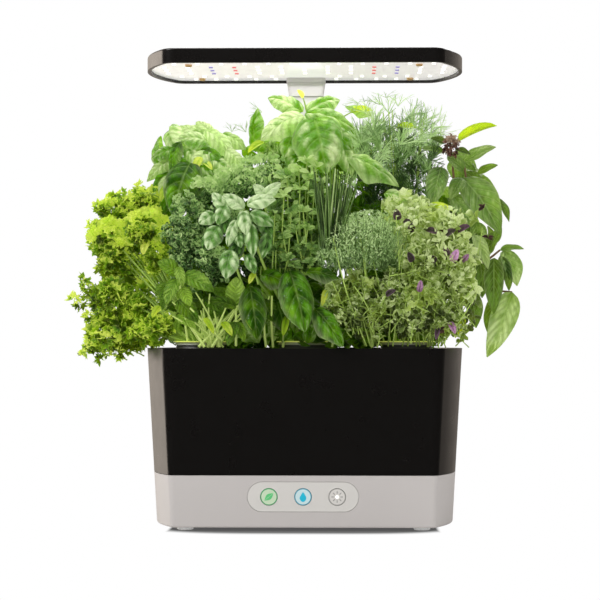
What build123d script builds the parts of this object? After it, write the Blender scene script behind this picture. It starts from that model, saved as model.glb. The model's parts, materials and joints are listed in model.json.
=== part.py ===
from build123d import *
import math
import os

# Countertop hydroponic garden: powered base, lift-off water bowl with a six-pod
# deck, and a light hood on a telescoping mast.
# Frame: origin under the centre of the body on the table, +X right, +Y back, +Z up.
# All sizes in millimetres.

# ---- body envelope ----
BODY_WIDTH = 267.0          # at the rim
BODY_DEPTH = 152.0          # at the rim
END_BOW = 21.0              # how far the side ends bulge past the corners
CORNER_RADIUS = 12.0
CORNER_LEAST = 1.0          # of any outline further inside
SIDE_TAPER = 3.17           # degrees, body narrows towards the table
RIM_HEIGHT = 149.7
SEAM_HEIGHT = 45.8          # joint line between base and bowl
UNDERSIDE_HEIGHT = 3.0
BOTTOM_ROUND = 1.6
BODY_WALL = 2.5

# ---- clearances ----
NEST_CLEARANCE = 0.4        # bowl in base, deck in bowl
LINE_GAP = 0.3              # shadow gap between fixed covers
SLIDE_CLEARANCE = 0.15      # mast tube in its bush
SHAFT_CLEARANCE = 0.05      # impeller on its shaft
SEAT_GAP = 0.3              # soft pieces and lifted faces on their seats

# ---- base ----
SHELF_HEIGHT = 41.5         # top of the shelf the bowl stands on
SHELF_THICKNESS = 3.0
FLOOR_THICKNESS = 2.5
FOOT_RADIUS = 6.8
FOOT_END_GAP = 23.1         # foot centre to the end of the floor plate
FOOT_Y = 50.0
FOOT_RECESS = 1.2
FOOT_ROUND = 1.0
SCREW_POST_RADIUS = 4.5
SCREW_RADIUS = 1.5
SCREW_HEAD_RADIUS = 2.9
SCREW_HEAD_HEIGHT = 1.8
SCREW_LENGTH = 12.0
VENT_WIDTH = 3.0
VENT_LENGTH = 26.0
VENT_COUNT = 5
VENT_PITCH = 7.5
FLOOR_SCREW_X = 78.0
FLOOR_SCREW_Y = 40.0

# ---- control panel ----
PANEL_LENGTH = 90.8
PANEL_HEIGHT = 24.3
PANEL_THICKNESS = 1.2
PANEL_CENTRE_HEIGHT = 28.4
BOARD_HEIGHT = 16.0
PANEL_BACK_ROOM = 9.2       # from the panel wall to the control board
BUTTON_NAMES = ("button_food", "button_water", "button_light")
BUTTON_PITCH = 27.9
BUTTON_HOLE_RADIUS = 7.2
BUTTON_GAP = 0.35
BUTTON_PROUD = 0.3
BUTTON_FLANGE = 1.4         # how far the retaining flange passes the hole
BUTTON_FLANGE_THICKNESS = 1.4
BUTTON_TRAVEL = 0.8
STEM_RADIUS = 3.0
SWITCH_SIDE = 6.0
SWITCH_HEIGHT = 3.5
PLUNGER_RADIUS = 1.6
PLUNGER_HEIGHT = 1.4
BOARD_THICKNESS = 1.6
BOARD_END_GAP = 3.0         # control board shorter than the panel

# ---- mast ----
MAST_WALL_GAP = 0.9         # tower to the back wall of the base
TOWER_WIDTH = 34.0
TOWER_DEPTH = 18.0
TOWER_WALL = 2.0
TOWER_TOP = 210.0
TOWER_FLANGE_WIDTH = 54.0   # flange under the base shelf
TOWER_FLANGE_THICKNESS = 3.0
TUBE_WIDTH = 26.0
TUBE_DEPTH = 11.0
TUBE_WALL = 1.5
MAST_TRAVEL = 130.0
BUSH_LENGTH = 14.0
SHOE_LENGTH = 16.0
COLLAR_LENGTH = 16.0
COLLAR_WIDTH_LOW = 30.0
COLLAR_WIDTH_HIGH = 33.4
COLLAR_BAND = 4.0
COLLAR_BAND_STEP = 0.4
COLLAR_ROUND = 3.5
BUSH_CAP = 2.0
BRACKET_LENGTH = 58.0
BRACKET_THICKNESS = 2.0
BRACKET_SCREW_X = 23.0

# ---- hood ----
HOOD_DEPTH = 140.0
HOOD_TOP = 395.6
HOOD_HEIGHT = 12.2
HOOD_WALL = 3.0
HOOD_SKIN = 2.5
HOOD_EDGE_ROUND = 1.6
PANEL_RECESS = 2.3          # light board above the hood's lower edge
LED_SIDE = 3.2
LED_HEIGHT = 0.8
LED_ROWS = (                # place, pitch, shift as a share of the pitch
    (-44.0, 19.6, 0.5), (-24.0, 19.6, 0.0), (-4.0, 19.6, 0.0),
    (16.0, 19.6, 0.0), (38.0, 19.6, 0.5), (57.0, 17.6, 0.5),
)
LED_COLOUR_ROWS = (-24.0, -4.0, 16.0)
LED_COLOURS = {3: "red", 4: "blue"}     # by column either side of the middle
LED_EDGE = 9.6
HOOD_SCREWS = ((96.0, -40.0), (91.0, 51.5))
HOOD_BOSS_RADIUS = 4.0
HOOD_SCREW_BITE = 3.0       # length of thread in its boss

# ---- bowl and deck ----
BOWL_FLOOR = 2.5
LEDGE_WIDTH = 3.0
LEDGE_THICKNESS = 2.5
DECK_DROP = 1.1             # deck top below the rim
DECK_THICKNESS = 2.6
POD_COLLAR_HEIGHT = 3.8     # raised collars round the pod holes
POD_COLLAR_WALL = 3.0
POD_COLLAR_DRAFT = 20.0
POD_COLUMN_X = 86.0
POD_SIDE_Y = 34.0
POD_GAP = 1.0               # between neighbouring labels
POD_HOLE_RADIUS = 18.5
PORT_WIDTH = 38.0
PORT_DEPTH = 15.0
PORT_LIP = 2.0
DECK_MARGIN = 1.4           # between raised features of the deck

# ---- pump contacts ----
CONTACT_X = 43.0
CONTACT_Y = -38.0
CONTACT_RADIUS = 2.0
CONTACT_PITCH = 12.0
CONTACT_LENGTH = 6.0        # below the shelf
CONTACT_HEAD = 1.5
PLATE_STUD = 4.0            # stud on the bowl's contact plate

# ---- pods ----
BASKET_WALL = 1.6
BASKET_LENGTH = 58.0
BASKET_LOW_RADIUS = 13.0
BASKET_FLANGE_WIDTH = 3.5   # past the hole's edge
BASKET_FLANGE = 2.4
BASKET_FLANGE_SLOPE = 1.0
DRAIN_RADIUS = 2.0
SLOT_COUNT = 8
SLOT_WIDTH = 5.0
SLOT_LENGTH = 34.0
SPONGE_LENGTH = 34.0
LABEL_OVERHANG = 1.0        # past the basket's flange
LABEL_THICKNESS = 0.8
LABEL_HOLE_RADIUS = 9.0

# ---- pump ----
PUMP_X = 43.0
PUMP_Y = 2.0
PUMP_RADIUS = 18.0
PUMP_HEIGHT = 28.0
IMPELLER_RADIUS = 11.0
IMPELLER_HEIGHT = 6.0
IMPELLER_BLADES = 6
ROTOR_RADIUS = 5.0
ROTOR_LENGTH = 10.6
SHAFT_RADIUS = 1.5
RISER_RADIUS = 4.5
RISER_WALL = 1.2
FILTER_THICKNESS = 4.0
INTAKE_HEIGHT = 4.0         # intake ring under the impeller chamber
INTAKE_SLOTS = 12
INTAKE_SLOT_WIDTH = 2.4
PUMP_FLOOR = 1.2
PUMP_WALL = 2.0
SHAFT_SEAT_RADIUS = 4.0
CHAMBER_GAP = 1.5           # round the impeller
ROTOR_GAP = 0.6
COIL_SLEEVE = 1.8           # between the rotor and the coil
COIL_LIFT = 3.0             # coil above the impeller
RISER_SEAT = 6.0            # how deep the riser sits in the pump
RISER_NOTCH_WIDTH = 3.0
RISER_NOTCH_LENGTH = 6.0
RISER_OVERLAP = 1.0         # spout runs into the pump body
LIFT_GAP = 1.0              # impeller above the intake ring
ROOF_GAP = 0.8              # above the impeller and the rotor
SHAFT_SEAT = 0.5
THROAT_WIDTH = 5.0
THROAT_HEIGHT = 4.0
HUB_RADIUS = 3.0
BLADE_THICKNESS = 1.2

# ---- power inlet and main board ----
MAIN_BOARD_LIFT = 4.0
MAIN_BOARD_WIDTH = 140.0
MAIN_BOARD_DEPTH = 34.0
STANDOFF_X = 62.0
STANDOFF_Y = 12.0           # from the board's centre line
STANDOFF_RADIUS = 2.5
INLET_X = 62.0
INLET_HEIGHT = 20.0
INLET_NOSE_RADIUS = 4.2
INLET_BORE_RADIUS = 2.85
INLET_PIN_RADIUS = 1.0
INLET_DEPTH = 9.0
INLET_BLOCK = 11.0
INLET_PROUD = 0.4
INLET_PIN_SETBACK = 1.0
CAPACITOR_RADIUS = 5.0
CAPACITOR_HEIGHT = 11.0
CAPACITOR_X = 40.0
CHIP_SIZE = (14.0, 10.0, 7.0)
CHIP_X = -40.0
MAST_NOTCH = 2.0            # board clear of the tower, each side

# ---- plants ----
LEAF_SHELL = 2.2
STALK_RADIUS = 4.0
CANOPY_HOOD_GAP = 12.4      # leaf tips below the hood's lower edge
CANOPY_HALF_WIDTH = 193.0
CANOPY_HALF_DEPTH = 98.0
CANOPY_LIFT = 23.6          # lowest leaves above the pod collars
CANOPY_GAP = 3.0
CANOPY_CORNER = 0.3         # corner cut as a share of the narrower side
CANOPY_STEPS = ((0.55, 0.0), (1.0, 0.3), (1.0, 0.6), (0.6, 1.0))    # spread, rise
MAST_LEAF_GAP = 5.0

# ---- derived levels ----
taper_slope = math.tan(math.radians(SIDE_TAPER))
shelf_bottom = SHELF_HEIGHT - SHELF_THICKNESS
bowl_bottom = SHELF_HEIGHT
bowl_step = SEAM_HEIGHT + NEST_CLEARANCE
tank_floor = bowl_bottom + BOWL_FLOOR
deck_top = RIM_HEIGHT - DECK_DROP
deck_bottom = deck_top - DECK_THICKNESS
collar_top = deck_top + POD_COLLAR_HEIGHT
ledge_bottom = deck_bottom - LEDGE_THICKNESS
hood_bottom = HOOD_TOP - HOOD_HEIGHT
board_bottom = hood_bottom + PANEL_RECESS
board_top = board_bottom + BOARD_THICKNESS
hood_ceiling = HOOD_TOP - HOOD_SKIN
bracket_low = hood_ceiling - BRACKET_THICKNESS
bush_bottom = TOWER_TOP - BUSH_LENGTH
tube_bottom = bush_bottom - SHOE_LENGTH
floor_top = UNDERSIDE_HEIGHT + FLOOR_THICKNESS
tower_bottom = floor_top + LINE_GAP
flange_top = collar_top + BASKET_FLANGE
label_top = flange_top + LABEL_THICKNESS
canopy_low = collar_top + CANOPY_LIFT
canopy_top = hood_bottom - CANOPY_HOOD_GAP
UP = (Align.CENTER, Align.CENTER, Align.MIN)
MIRRORS = ((1, 1), (1, -1), (-1, 1), (-1, -1))


def side_inset(height):
    """How far the tapered side has come in from the rim at a height."""
    return (RIM_HEIGHT - height) * taper_slope


# ---- derived places ----
floor_inset = side_inset(UNDERSIDE_HEIGHT) + BOTTOM_ROUND + BODY_WALL + LINE_GAP
foot_x = BODY_WIDTH / 2 - floor_inset - FOOT_END_GAP
main_board_y = BODY_DEPTH / 2 - floor_inset - MAIN_BOARD_DEPTH / 2
mast_y = (BODY_DEPTH / 2 - side_inset(tower_bottom) - BODY_WALL
          - MAST_WALL_GAP - TOWER_DEPTH / 2)
channel_front = mast_y - TOWER_DEPTH / 2 - 2 * NEST_CLEARANCE
basket_flange_radius = POD_HOLE_RADIUS + BASKET_FLANGE_WIDTH
label_radius = basket_flange_radius + LABEL_OVERHANG
pod_collar_radius = POD_HOLE_RADIUS + POD_COLLAR_WALL
pod_back_y = channel_front - BODY_WALL - NEST_CLEARANCE - pod_collar_radius - DECK_MARGIN
pod_front_y = pod_back_y - 2 * label_radius - POD_GAP
port_y = pod_front_y - pod_collar_radius - DECK_MARGIN - PORT_LIP - PORT_DEPTH / 2
pod_places = (
    (-POD_COLUMN_X, -POD_SIDE_Y), (-POD_COLUMN_X, POD_SIDE_Y),
    (0.0, pod_front_y), (0.0, pod_back_y),
    (POD_COLUMN_X, -POD_SIDE_Y), (POD_COLUMN_X, POD_SIDE_Y),
)


# ---- shared shapes ----
def end_bowed_outline(width, depth, inset=0.0):
    """Face with straight front and back, bowed ends and round corners."""
    bow_radius = ((depth / 2) ** 2 + END_BOW ** 2) / (2 * END_BOW)
    bow_centre = width / 2 - bow_radius
    half_w, half_d = width / 2 - inset, depth / 2 - inset
    corner_x = bow_centre + math.sqrt((bow_radius - inset) ** 2 - half_d ** 2)
    front = Line((-corner_x, -half_d), (corner_x, -half_d))
    right = ThreePointArc((corner_x, -half_d), (half_w, 0), (corner_x, half_d))
    back = Line((corner_x, half_d), (-corner_x, half_d))
    left = ThreePointArc((-corner_x, half_d), (-half_w, 0), (-corner_x, -half_d))
    face = make_face(front + right + back + left)
    return fillet(face.vertices(), max(CORNER_RADIUS - inset, CORNER_LEAST))


def body_block(low, high, inset=0.0):
    """Solid between two heights, a given distance inside the body's tapered side."""
    face = end_bowed_outline(BODY_WIDTH, BODY_DEPTH, side_inset(low) + inset)
    return Pos(0, 0, low) * extrude(face, amount=high - low, taper=-SIDE_TAPER)


def round_bar(width, depth, low, high, radius, x=0.0, y=0.0):
    """Upright bar with rounded vertical edges."""
    face = Pos(x, y, low) * RectangleRounded(width, depth, radius)
    return extrude(face, amount=high - low)


def post(radius, low, high, x=0.0, y=0.0):
    """Upright cylinder between two heights."""
    return Pos(x, y, low) * Cylinder(radius, high - low, align=UP)


def pan_screw(head_low, length, x, y):
    """Screw pointing up, with its pan head at the bottom."""
    head = post(SCREW_HEAD_RADIUS, head_low, head_low + SCREW_HEAD_HEIGHT, x, y)
    head = chamfer(head.edges().sort_by(Axis.Z)[:1], SCREW_HEAD_HEIGHT / 3)
    shank = post(SCREW_RADIUS, head_low + SCREW_HEAD_HEIGHT, head_low + length, x, y)
    return head + shank


def group(pieces):
    """Several separate solids kept as one item."""
    return Compound(children=[solid for piece in pieces for solid in piece.solids()])


# ---- control panel plane: on the sloping front wall, facing outwards ----
lean = math.radians(SIDE_TAPER)
panel_plane = Plane(
    origin=(0, side_inset(PANEL_CENTRE_HEIGHT) - BODY_DEPTH / 2, PANEL_CENTRE_HEIGHT),
    x_dir=(1, 0, 0),
    z_dir=(0, -math.cos(lean), -math.sin(lean)),
)
button_front = BUTTON_PROUD
wall_back = -BODY_WALL
flange_front = wall_back - SEAT_GAP
flange_back = flange_front - BUTTON_FLANGE_THICKNESS
board_front = wall_back - PANEL_BACK_ROOM
switch_front = board_front + SWITCH_HEIGHT
stem_end = switch_front + BUTTON_TRAVEL + SHAFT_CLEARANCE
plunger_end = switch_front + PLUNGER_HEIGHT
button_places = [(i - 1) * BUTTON_PITCH for i in range(len(BUTTON_NAMES))]
board_post_x = PANEL_LENGTH / 2 - SCREW_POST_RADIUS


def on_panel(face, near, far):
    """Face drawn on the panel plane, extruded between two distances from it."""
    return panel_plane.location * (Pos(0, 0, near) * extrude(face, amount=far - near))


def pill(length, height):
    return SlotOverall(length, height)


def panel_circle(radius, x):
    return Pos(x, 0) * Circle(radius)


# ---- base ----
def base_shell():
    outer = body_block(UNDERSIDE_HEIGHT, SEAM_HEIGHT)
    bottom_edges = outer.edges().group_by(Axis.Z)[0]
    outer = fillet(bottom_edges, BOTTOM_ROUND)
    room = body_block(UNDERSIDE_HEIGHT + BOTTOM_ROUND, shelf_bottom, BODY_WALL)
    mouth = body_block(
        UNDERSIDE_HEIGHT, UNDERSIDE_HEIGHT + BOTTOM_ROUND, BOTTOM_ROUND + BODY_WALL)
    nest = body_block(SHELF_HEIGHT, SEAM_HEIGHT, BODY_WALL)
    shell = outer - room - mouth - nest
    for sx, sy in MIRRORS:
        shell += post(SCREW_POST_RADIUS, floor_top, shelf_bottom,
                      sx * FLOOR_SCREW_X, sy * FLOOR_SCREW_Y)
        shell -= post(SCREW_RADIUS, floor_top, shelf_bottom - SHELF_THICKNESS,
                      sx * FLOOR_SCREW_X, sy * FLOOR_SCREW_Y)
    shell -= round_bar(TOWER_WIDTH + LINE_GAP, TOWER_DEPTH + LINE_GAP,
                       shelf_bottom, SHELF_HEIGHT, TOWER_WALL * 2, 0, mast_y)
    shell -= on_panel(pill(PANEL_LENGTH + 2 * LINE_GAP, PANEL_HEIGHT + 2 * LINE_GAP),
                      -PANEL_THICKNESS, BODY_WALL)
    for x in button_places:
        shell -= on_panel(panel_circle(BUTTON_HOLE_RADIUS, x), wall_back * 2, BODY_WALL)
    for side in (-1, 1):
        x = side * board_post_x
        shell += on_panel(panel_circle(SCREW_POST_RADIUS * 0.8, x), board_front, wall_back / 2)
        shell -= on_panel(panel_circle(SCREW_RADIUS, x), board_front, wall_back)
    shell -= inlet_hole()
    for x in (-CONTACT_PITCH / 2, CONTACT_PITCH / 2):
        shell -= post(CONTACT_RADIUS + LINE_GAP, shelf_bottom, SHELF_HEIGHT,
                      CONTACT_X + x, CONTACT_Y)
    return shell


def base_floor_plate():
    plate = body_block(UNDERSIDE_HEIGHT, floor_top, BOTTOM_ROUND + BODY_WALL + LINE_GAP)
    for sx, sy in MIRRORS:
        x, y = sx * FLOOR_SCREW_X, sy * FLOOR_SCREW_Y
        plate -= post(SCREW_RADIUS + LINE_GAP, UNDERSIDE_HEIGHT, floor_top, x, y)
        plate -= post(SCREW_HEAD_RADIUS + LINE_GAP, UNDERSIDE_HEIGHT,
                      UNDERSIDE_HEIGHT + FLOOR_THICKNESS / 2, x, y)
        plate -= post(FOOT_RADIUS, UNDERSIDE_HEIGHT, UNDERSIDE_HEIGHT + FOOT_RECESS,
                      sx * foot_x, sy * FOOT_Y)
    vent = Pos(0, 0, UNDERSIDE_HEIGHT) * SlotOverall(VENT_LENGTH, VENT_WIDTH)
    for i in range(VENT_COUNT):
        place = Pos(0, (i - (VENT_COUNT - 1) / 2) * VENT_PITCH, 0)
        plate -= place * extrude(vent, amount=FLOOR_THICKNESS)
    return plate


def rubber_feet():
    feet = []
    for sx, sy in MIRRORS:
        foot = post(FOOT_RADIUS, 0, UNDERSIDE_HEIGHT + FOOT_RECESS, sx * foot_x, sy * FOOT_Y)
        rim = foot.edges().group_by(Axis.Z)[0]
        feet.append(fillet(rim, FOOT_ROUND))
    return group(feet)


def base_screws():
    """Four screws through the floor plate and two behind the control board."""
    head_low = UNDERSIDE_HEIGHT + FLOOR_THICKNESS / 2 - SCREW_HEAD_HEIGHT
    screws = [pan_screw(head_low, SCREW_LENGTH, sx * FLOOR_SCREW_X, sy * FLOOR_SCREW_Y)
              for sx, sy in MIRRORS]
    back = board_front - BOARD_THICKNESS
    for side in (-1, 1):
        x = side * board_post_x
        head = on_panel(panel_circle(SCREW_HEAD_RADIUS, x), back - SCREW_HEAD_HEIGHT, back)
        shank = on_panel(panel_circle(SCREW_RADIUS, x), back, board_front + SWITCH_HEIGHT)
        screws.append(head + shank)
    return group(screws)


def control_panel():
    plate = on_panel(pill(PANEL_LENGTH, PANEL_HEIGHT), -PANEL_THICKNESS, 0)
    for x in button_places:
        plate -= on_panel(panel_circle(BUTTON_HOLE_RADIUS, x), -PANEL_THICKNESS, 0)
    return plate


def button(x):
    """Round cap, retaining flange behind the wall and a hollow stem on the switch."""
    cap_radius = BUTTON_HOLE_RADIUS - BUTTON_GAP
    cap = on_panel(panel_circle(cap_radius, x), flange_front, button_front)
    rim = cap.edges().sort_by(Axis.Y)[:1]
    cap = fillet(rim, BUTTON_PROUD)
    flange = on_panel(panel_circle(BUTTON_HOLE_RADIUS + BUTTON_FLANGE, x),
                      flange_back, flange_front)
    stem = on_panel(panel_circle(STEM_RADIUS, x), stem_end, flange_back)
    bore_end = plunger_end + BUTTON_TRAVEL + 2 * SHAFT_CLEARANCE
    bore = on_panel(panel_circle(PLUNGER_RADIUS + LINE_GAP, x), stem_end, bore_end)
    return cap + flange + stem - bore


def control_board():
    board = on_panel(pill(PANEL_LENGTH - BOARD_END_GAP, BOARD_HEIGHT),
                     board_front - BOARD_THICKNESS, board_front)
    for side in (-1, 1):
        board -= on_panel(panel_circle(SCREW_RADIUS + LINE_GAP, side * board_post_x),
                          board_front - BOARD_THICKNESS, board_front)
    return board


def tact_switches():
    switches = []
    for x in button_places:
        body = on_panel(Pos(x, 0) * RectangleRounded(SWITCH_SIDE, SWITCH_SIDE, 0.5),
                        board_front, switch_front)
        plunger = on_panel(panel_circle(PLUNGER_RADIUS, x), switch_front, plunger_end)
        switches.append(body + plunger)
    return group(switches)


def indicator_leds():
    leds = []
    for x in button_places:
        face = Pos(x, PANEL_HEIGHT * 0.22) * Rectangle(LED_SIDE, LED_SIDE / 2)
        leds.append(on_panel(face, board_front, board_front + LED_HEIGHT))
    return group(leds)


# ---- power inlet and electronics ----
inlet_face_y = BODY_DEPTH / 2 - side_inset(INLET_HEIGHT)
inlet_block_back = inlet_face_y - BODY_WALL - SEAT_GAP


def along_y(radius, near, far, x, z):
    """Cylinder whose axis runs along Y."""
    face = Plane(origin=(x, near, z), z_dir=(0, 1, 0)) * Circle(radius)
    return extrude(face, amount=far - near)


def inlet_hole():
    return along_y(INLET_NOSE_RADIUS + LINE_GAP, inlet_face_y - BODY_WALL * 2,
                   inlet_face_y + BODY_WALL, INLET_X, INLET_HEIGHT)


def dc_inlet():
    nose_end = inlet_face_y + INLET_PROUD
    block = Pos(INLET_X, inlet_block_back - INLET_DEPTH / 2, INLET_HEIGHT) * Box(
        INLET_BLOCK, INLET_DEPTH, INLET_BLOCK)
    nose = along_y(INLET_NOSE_RADIUS, inlet_block_back, nose_end, INLET_X, INLET_HEIGHT)
    bore = along_y(INLET_BORE_RADIUS, nose_end - INLET_DEPTH, nose_end, INLET_X, INLET_HEIGHT)
    pin = along_y(INLET_PIN_RADIUS, nose_end - INLET_DEPTH, nose_end - INLET_PIN_SETBACK,
                  INLET_X, INLET_HEIGHT)
    return block + nose - bore + pin


def main_board():
    """Timer and power board on stand-offs, with two tall parts and the inlet's seat."""
    low = floor_top + MAIN_BOARD_LIFT
    board = Pos(0, main_board_y, low) * Box(
        MAIN_BOARD_WIDTH, MAIN_BOARD_DEPTH, BOARD_THICKNESS, align=UP)
    board -= round_bar(TOWER_WIDTH + 2 * MAST_NOTCH, TOWER_DEPTH + 2 * MAST_NOTCH,
                       low, low + BOARD_THICKNESS, MAST_NOTCH, 0, mast_y)
    top = low + BOARD_THICKNESS
    board += post(CAPACITOR_RADIUS, top, top + CAPACITOR_HEIGHT, CAPACITOR_X,
                  main_board_y - STANDOFF_Y / 2)
    board += Pos(CHIP_X, main_board_y - STANDOFF_Y / 2, top) * Box(*CHIP_SIZE, align=UP)
    seat_depth = min(INLET_DEPTH, main_board_y + MAIN_BOARD_DEPTH / 2 - inlet_block_back + INLET_DEPTH)
    board += Pos(INLET_X, inlet_block_back - INLET_DEPTH + seat_depth / 2, top) * Box(
        INLET_BLOCK, seat_depth, INLET_HEIGHT - INLET_BLOCK / 2 - top, align=UP)
    for sx in (-1, 1):
        for dy in (-STANDOFF_Y, STANDOFF_Y):
            board += post(STANDOFF_RADIUS, floor_top, low, sx * STANDOFF_X, main_board_y + dy)
    return board


def base_contacts():
    """Two round contact pins that feed the pump, flush with the shelf."""
    pins = []
    for x in (-CONTACT_PITCH / 2, CONTACT_PITCH / 2):
        pin = post(CONTACT_RADIUS, shelf_bottom - CONTACT_LENGTH, SHELF_HEIGHT - SEAT_GAP,
                   CONTACT_X + x, CONTACT_Y)
        head = post(CONTACT_RADIUS + CONTACT_HEAD, shelf_bottom - CONTACT_HEAD, shelf_bottom,
                    CONTACT_X + x, CONTACT_Y)
        pins.append(pin + head)
    return group(pins)


# ---- mast ----
def mast_tower():
    """Fixed outer tube with a screw flange under the base shelf."""
    tube = round_bar(TOWER_WIDTH, TOWER_DEPTH, tower_bottom, TOWER_TOP,
                     TOWER_WALL * 2, 0, mast_y)
    flange = round_bar(TOWER_FLANGE_WIDTH, TOWER_DEPTH - TOWER_WALL,
                       shelf_bottom - TOWER_FLANGE_THICKNESS, shelf_bottom,
                       TOWER_FLANGE_THICKNESS, 0, mast_y)
    bore = round_bar(TOWER_WIDTH - 2 * TOWER_WALL, TOWER_DEPTH - 2 * TOWER_WALL,
                     tower_bottom, TOWER_TOP, TOWER_WALL, 0, mast_y)
    top = tube.faces().sort_by(Axis.Z)[-1]
    tube = chamfer(top.edges(), TOWER_WALL / 4)
    return tube + flange - bore


def sleeve(low, high, outer_gap, inner_gap):
    """Ring that fills the space between the tower's bore and the sliding tube."""
    outer = round_bar(TOWER_WIDTH - 2 * TOWER_WALL - 2 * outer_gap,
                      TOWER_DEPTH - 2 * TOWER_WALL - 2 * outer_gap,
                      low, high, TOWER_WALL, 0, mast_y)
    inner = round_bar(TUBE_WIDTH + 2 * inner_gap, TUBE_DEPTH + 2 * inner_gap,
                      low, high, TUBE_WALL, 0, mast_y)
    return outer - inner


def mast_bush():
    cap = round_bar(TOWER_WIDTH, TOWER_DEPTH, TOWER_TOP, TOWER_TOP + BUSH_CAP,
                    TOWER_WALL * 2, 0, mast_y)
    cap -= round_bar(TUBE_WIDTH + 2 * SLIDE_CLEARANCE, TUBE_DEPTH + 2 * SLIDE_CLEARANCE,
                     TOWER_TOP, TOWER_TOP + BUSH_CAP, TUBE_WALL, 0, mast_y)
    return sleeve(bush_bottom, TOWER_TOP, 0.0, SLIDE_CLEARANCE) + cap


def mast_tube():
    outer = round_bar(TUBE_WIDTH, TUBE_DEPTH, tube_bottom, bracket_low, TUBE_WALL, 0, mast_y)
    inner = round_bar(TUBE_WIDTH - 2 * TUBE_WALL, TUBE_DEPTH - 2 * TUBE_WALL,
                      tube_bottom, bracket_low, TUBE_WALL / 2, 0, mast_y)
    return outer - inner


def mast_shoe():
    """Friction shoe at the tube's foot; it stops under the bush when raised."""
    return sleeve(tube_bottom, bush_bottom - SHAFT_CLEARANCE, SLIDE_CLEARANCE, 0.0)


def mast_bracket():
    plate = round_bar(BRACKET_LENGTH, TUBE_DEPTH + 4, bracket_low, hood_ceiling, 3.0, 0, mast_y)
    for side in (-1, 1):
        plate -= post(SCREW_RADIUS + LINE_GAP, bracket_low, hood_ceiling,
                      side * BRACKET_SCREW_X, mast_y)
    return plate


def mast_collar():
    """Tapered collar under the hood, with a slightly wider band at its top."""
    low = board_bottom - COLLAR_LENGTH
    band_low = board_bottom - COLLAR_BAND
    depth_low = TUBE_DEPTH + COLLAR_WIDTH_LOW - TUBE_WIDTH
    depth_high = TUBE_DEPTH + COLLAR_WIDTH_HIGH - TUBE_WIDTH - 2 * COLLAR_BAND_STEP
    cone = loft([
        Pos(0, mast_y, low) * RectangleRounded(COLLAR_WIDTH_LOW, depth_low, COLLAR_ROUND),
        Pos(0, mast_y, band_low) * RectangleRounded(COLLAR_WIDTH_HIGH, depth_high, COLLAR_ROUND),
    ])
    band = round_bar(COLLAR_WIDTH_HIGH + 2 * COLLAR_BAND_STEP, depth_high + 2 * COLLAR_BAND_STEP,
                     band_low, board_bottom, COLLAR_ROUND, 0, mast_y)
    bore = round_bar(TUBE_WIDTH + SLIDE_CLEARANCE, TUBE_DEPTH + SLIDE_CLEARANCE,
                     low, board_bottom, TUBE_WALL, 0, mast_y)
    return cone + band - bore


# ---- hood ----
def hood_outline(inset=0.0):
    return end_bowed_outline(BODY_WIDTH, HOOD_DEPTH, inset)


def hood_housing():
    """Shallow tray, open below, with the bosses that carry the light board."""
    shell = Pos(0, 0, hood_bottom) * extrude(hood_outline(), amount=HOOD_HEIGHT)
    top_edges = shell.edges().group_by(Axis.Z)[-1]
    shell = fillet(top_edges, HOOD_EDGE_ROUND)
    shell -= Pos(0, 0, hood_bottom) * extrude(
        hood_outline(HOOD_WALL), amount=hood_ceiling - hood_bottom)
    for x, y in hood_screw_places():
        shell += post(HOOD_BOSS_RADIUS, board_top, hood_ceiling, x, y)
        shell -= post(SCREW_RADIUS, board_top, hood_ceiling, x, y)
    for side in (-1, 1):
        shell += post(SCREW_RADIUS, bracket_low, hood_ceiling,
                      side * BRACKET_SCREW_X, mast_y)
    return shell


def hood_screw_places():
    return [(side * x, y) for x, y in HOOD_SCREWS for side in (-1, 1)]


def light_board():
    board = Pos(0, 0, board_bottom) * extrude(
        hood_outline(HOOD_WALL + LINE_GAP), amount=BOARD_THICKNESS)
    for x, y in hood_screw_places():
        board -= post(SCREW_RADIUS + LINE_GAP, board_bottom, board_top, x, y)
    board -= round_bar(TUBE_WIDTH + 2 * LINE_GAP, TUBE_DEPTH + 2 * LINE_GAP,
                       board_bottom, board_top, TUBE_WALL, 0, mast_y)
    return board


def hood_screws():
    length = SCREW_HEAD_HEIGHT + BOARD_THICKNESS + HOOD_SCREW_BITE
    return group(pan_screw(board_bottom - SCREW_HEAD_HEIGHT, length, x, y)
                 for x, y in hood_screw_places())


def led_places():
    """Rows of light places, each with its colour."""
    board_half_w = BODY_WIDTH / 2 - HOOD_WALL
    places = []
    for y, pitch, shift in LED_ROWS:
        reach = board_half_w - END_BOW * (2 * y / HOOD_DEPTH) ** 2 - LED_EDGE
        columns = math.ceil(board_half_w / pitch)
        for column in range(-columns, columns + 1):
            x = (column + shift) * pitch
            blocked = any(math.hypot(x - sx, y - sy) < SCREW_HEAD_RADIUS + LED_SIDE
                          for sx, sy in hood_screw_places())
            near_mast = abs(x) < TOWER_WIDTH / 2 + LED_SIDE and y > mast_y - TOWER_DEPTH
            if abs(x) > reach or blocked or near_mast:
                continue
            tinted = y in LED_COLOUR_ROWS
            places.append((x, y, LED_COLOURS.get(abs(column), "white") if tinted else "white"))
    return places


def light_leds(colour):
    return group(
        Pos(x, y, board_bottom - LED_HEIGHT) * Box(LED_SIDE, LED_SIDE, LED_HEIGHT, align=UP)
        for x, y, name in led_places() if name == colour)


# ---- bowl ----
def mast_channel(grow, low, high):
    """Space for the mast tower, open to the back of the bowl."""
    half = TOWER_WIDTH / 2 + 2 * NEST_CLEARANCE + grow
    front = channel_front - grow
    back = BODY_DEPTH / 2 + BODY_WALL
    return Pos(0, (front + back) / 2, low) * Box(2 * half, back - front, high - low, align=UP)


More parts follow.
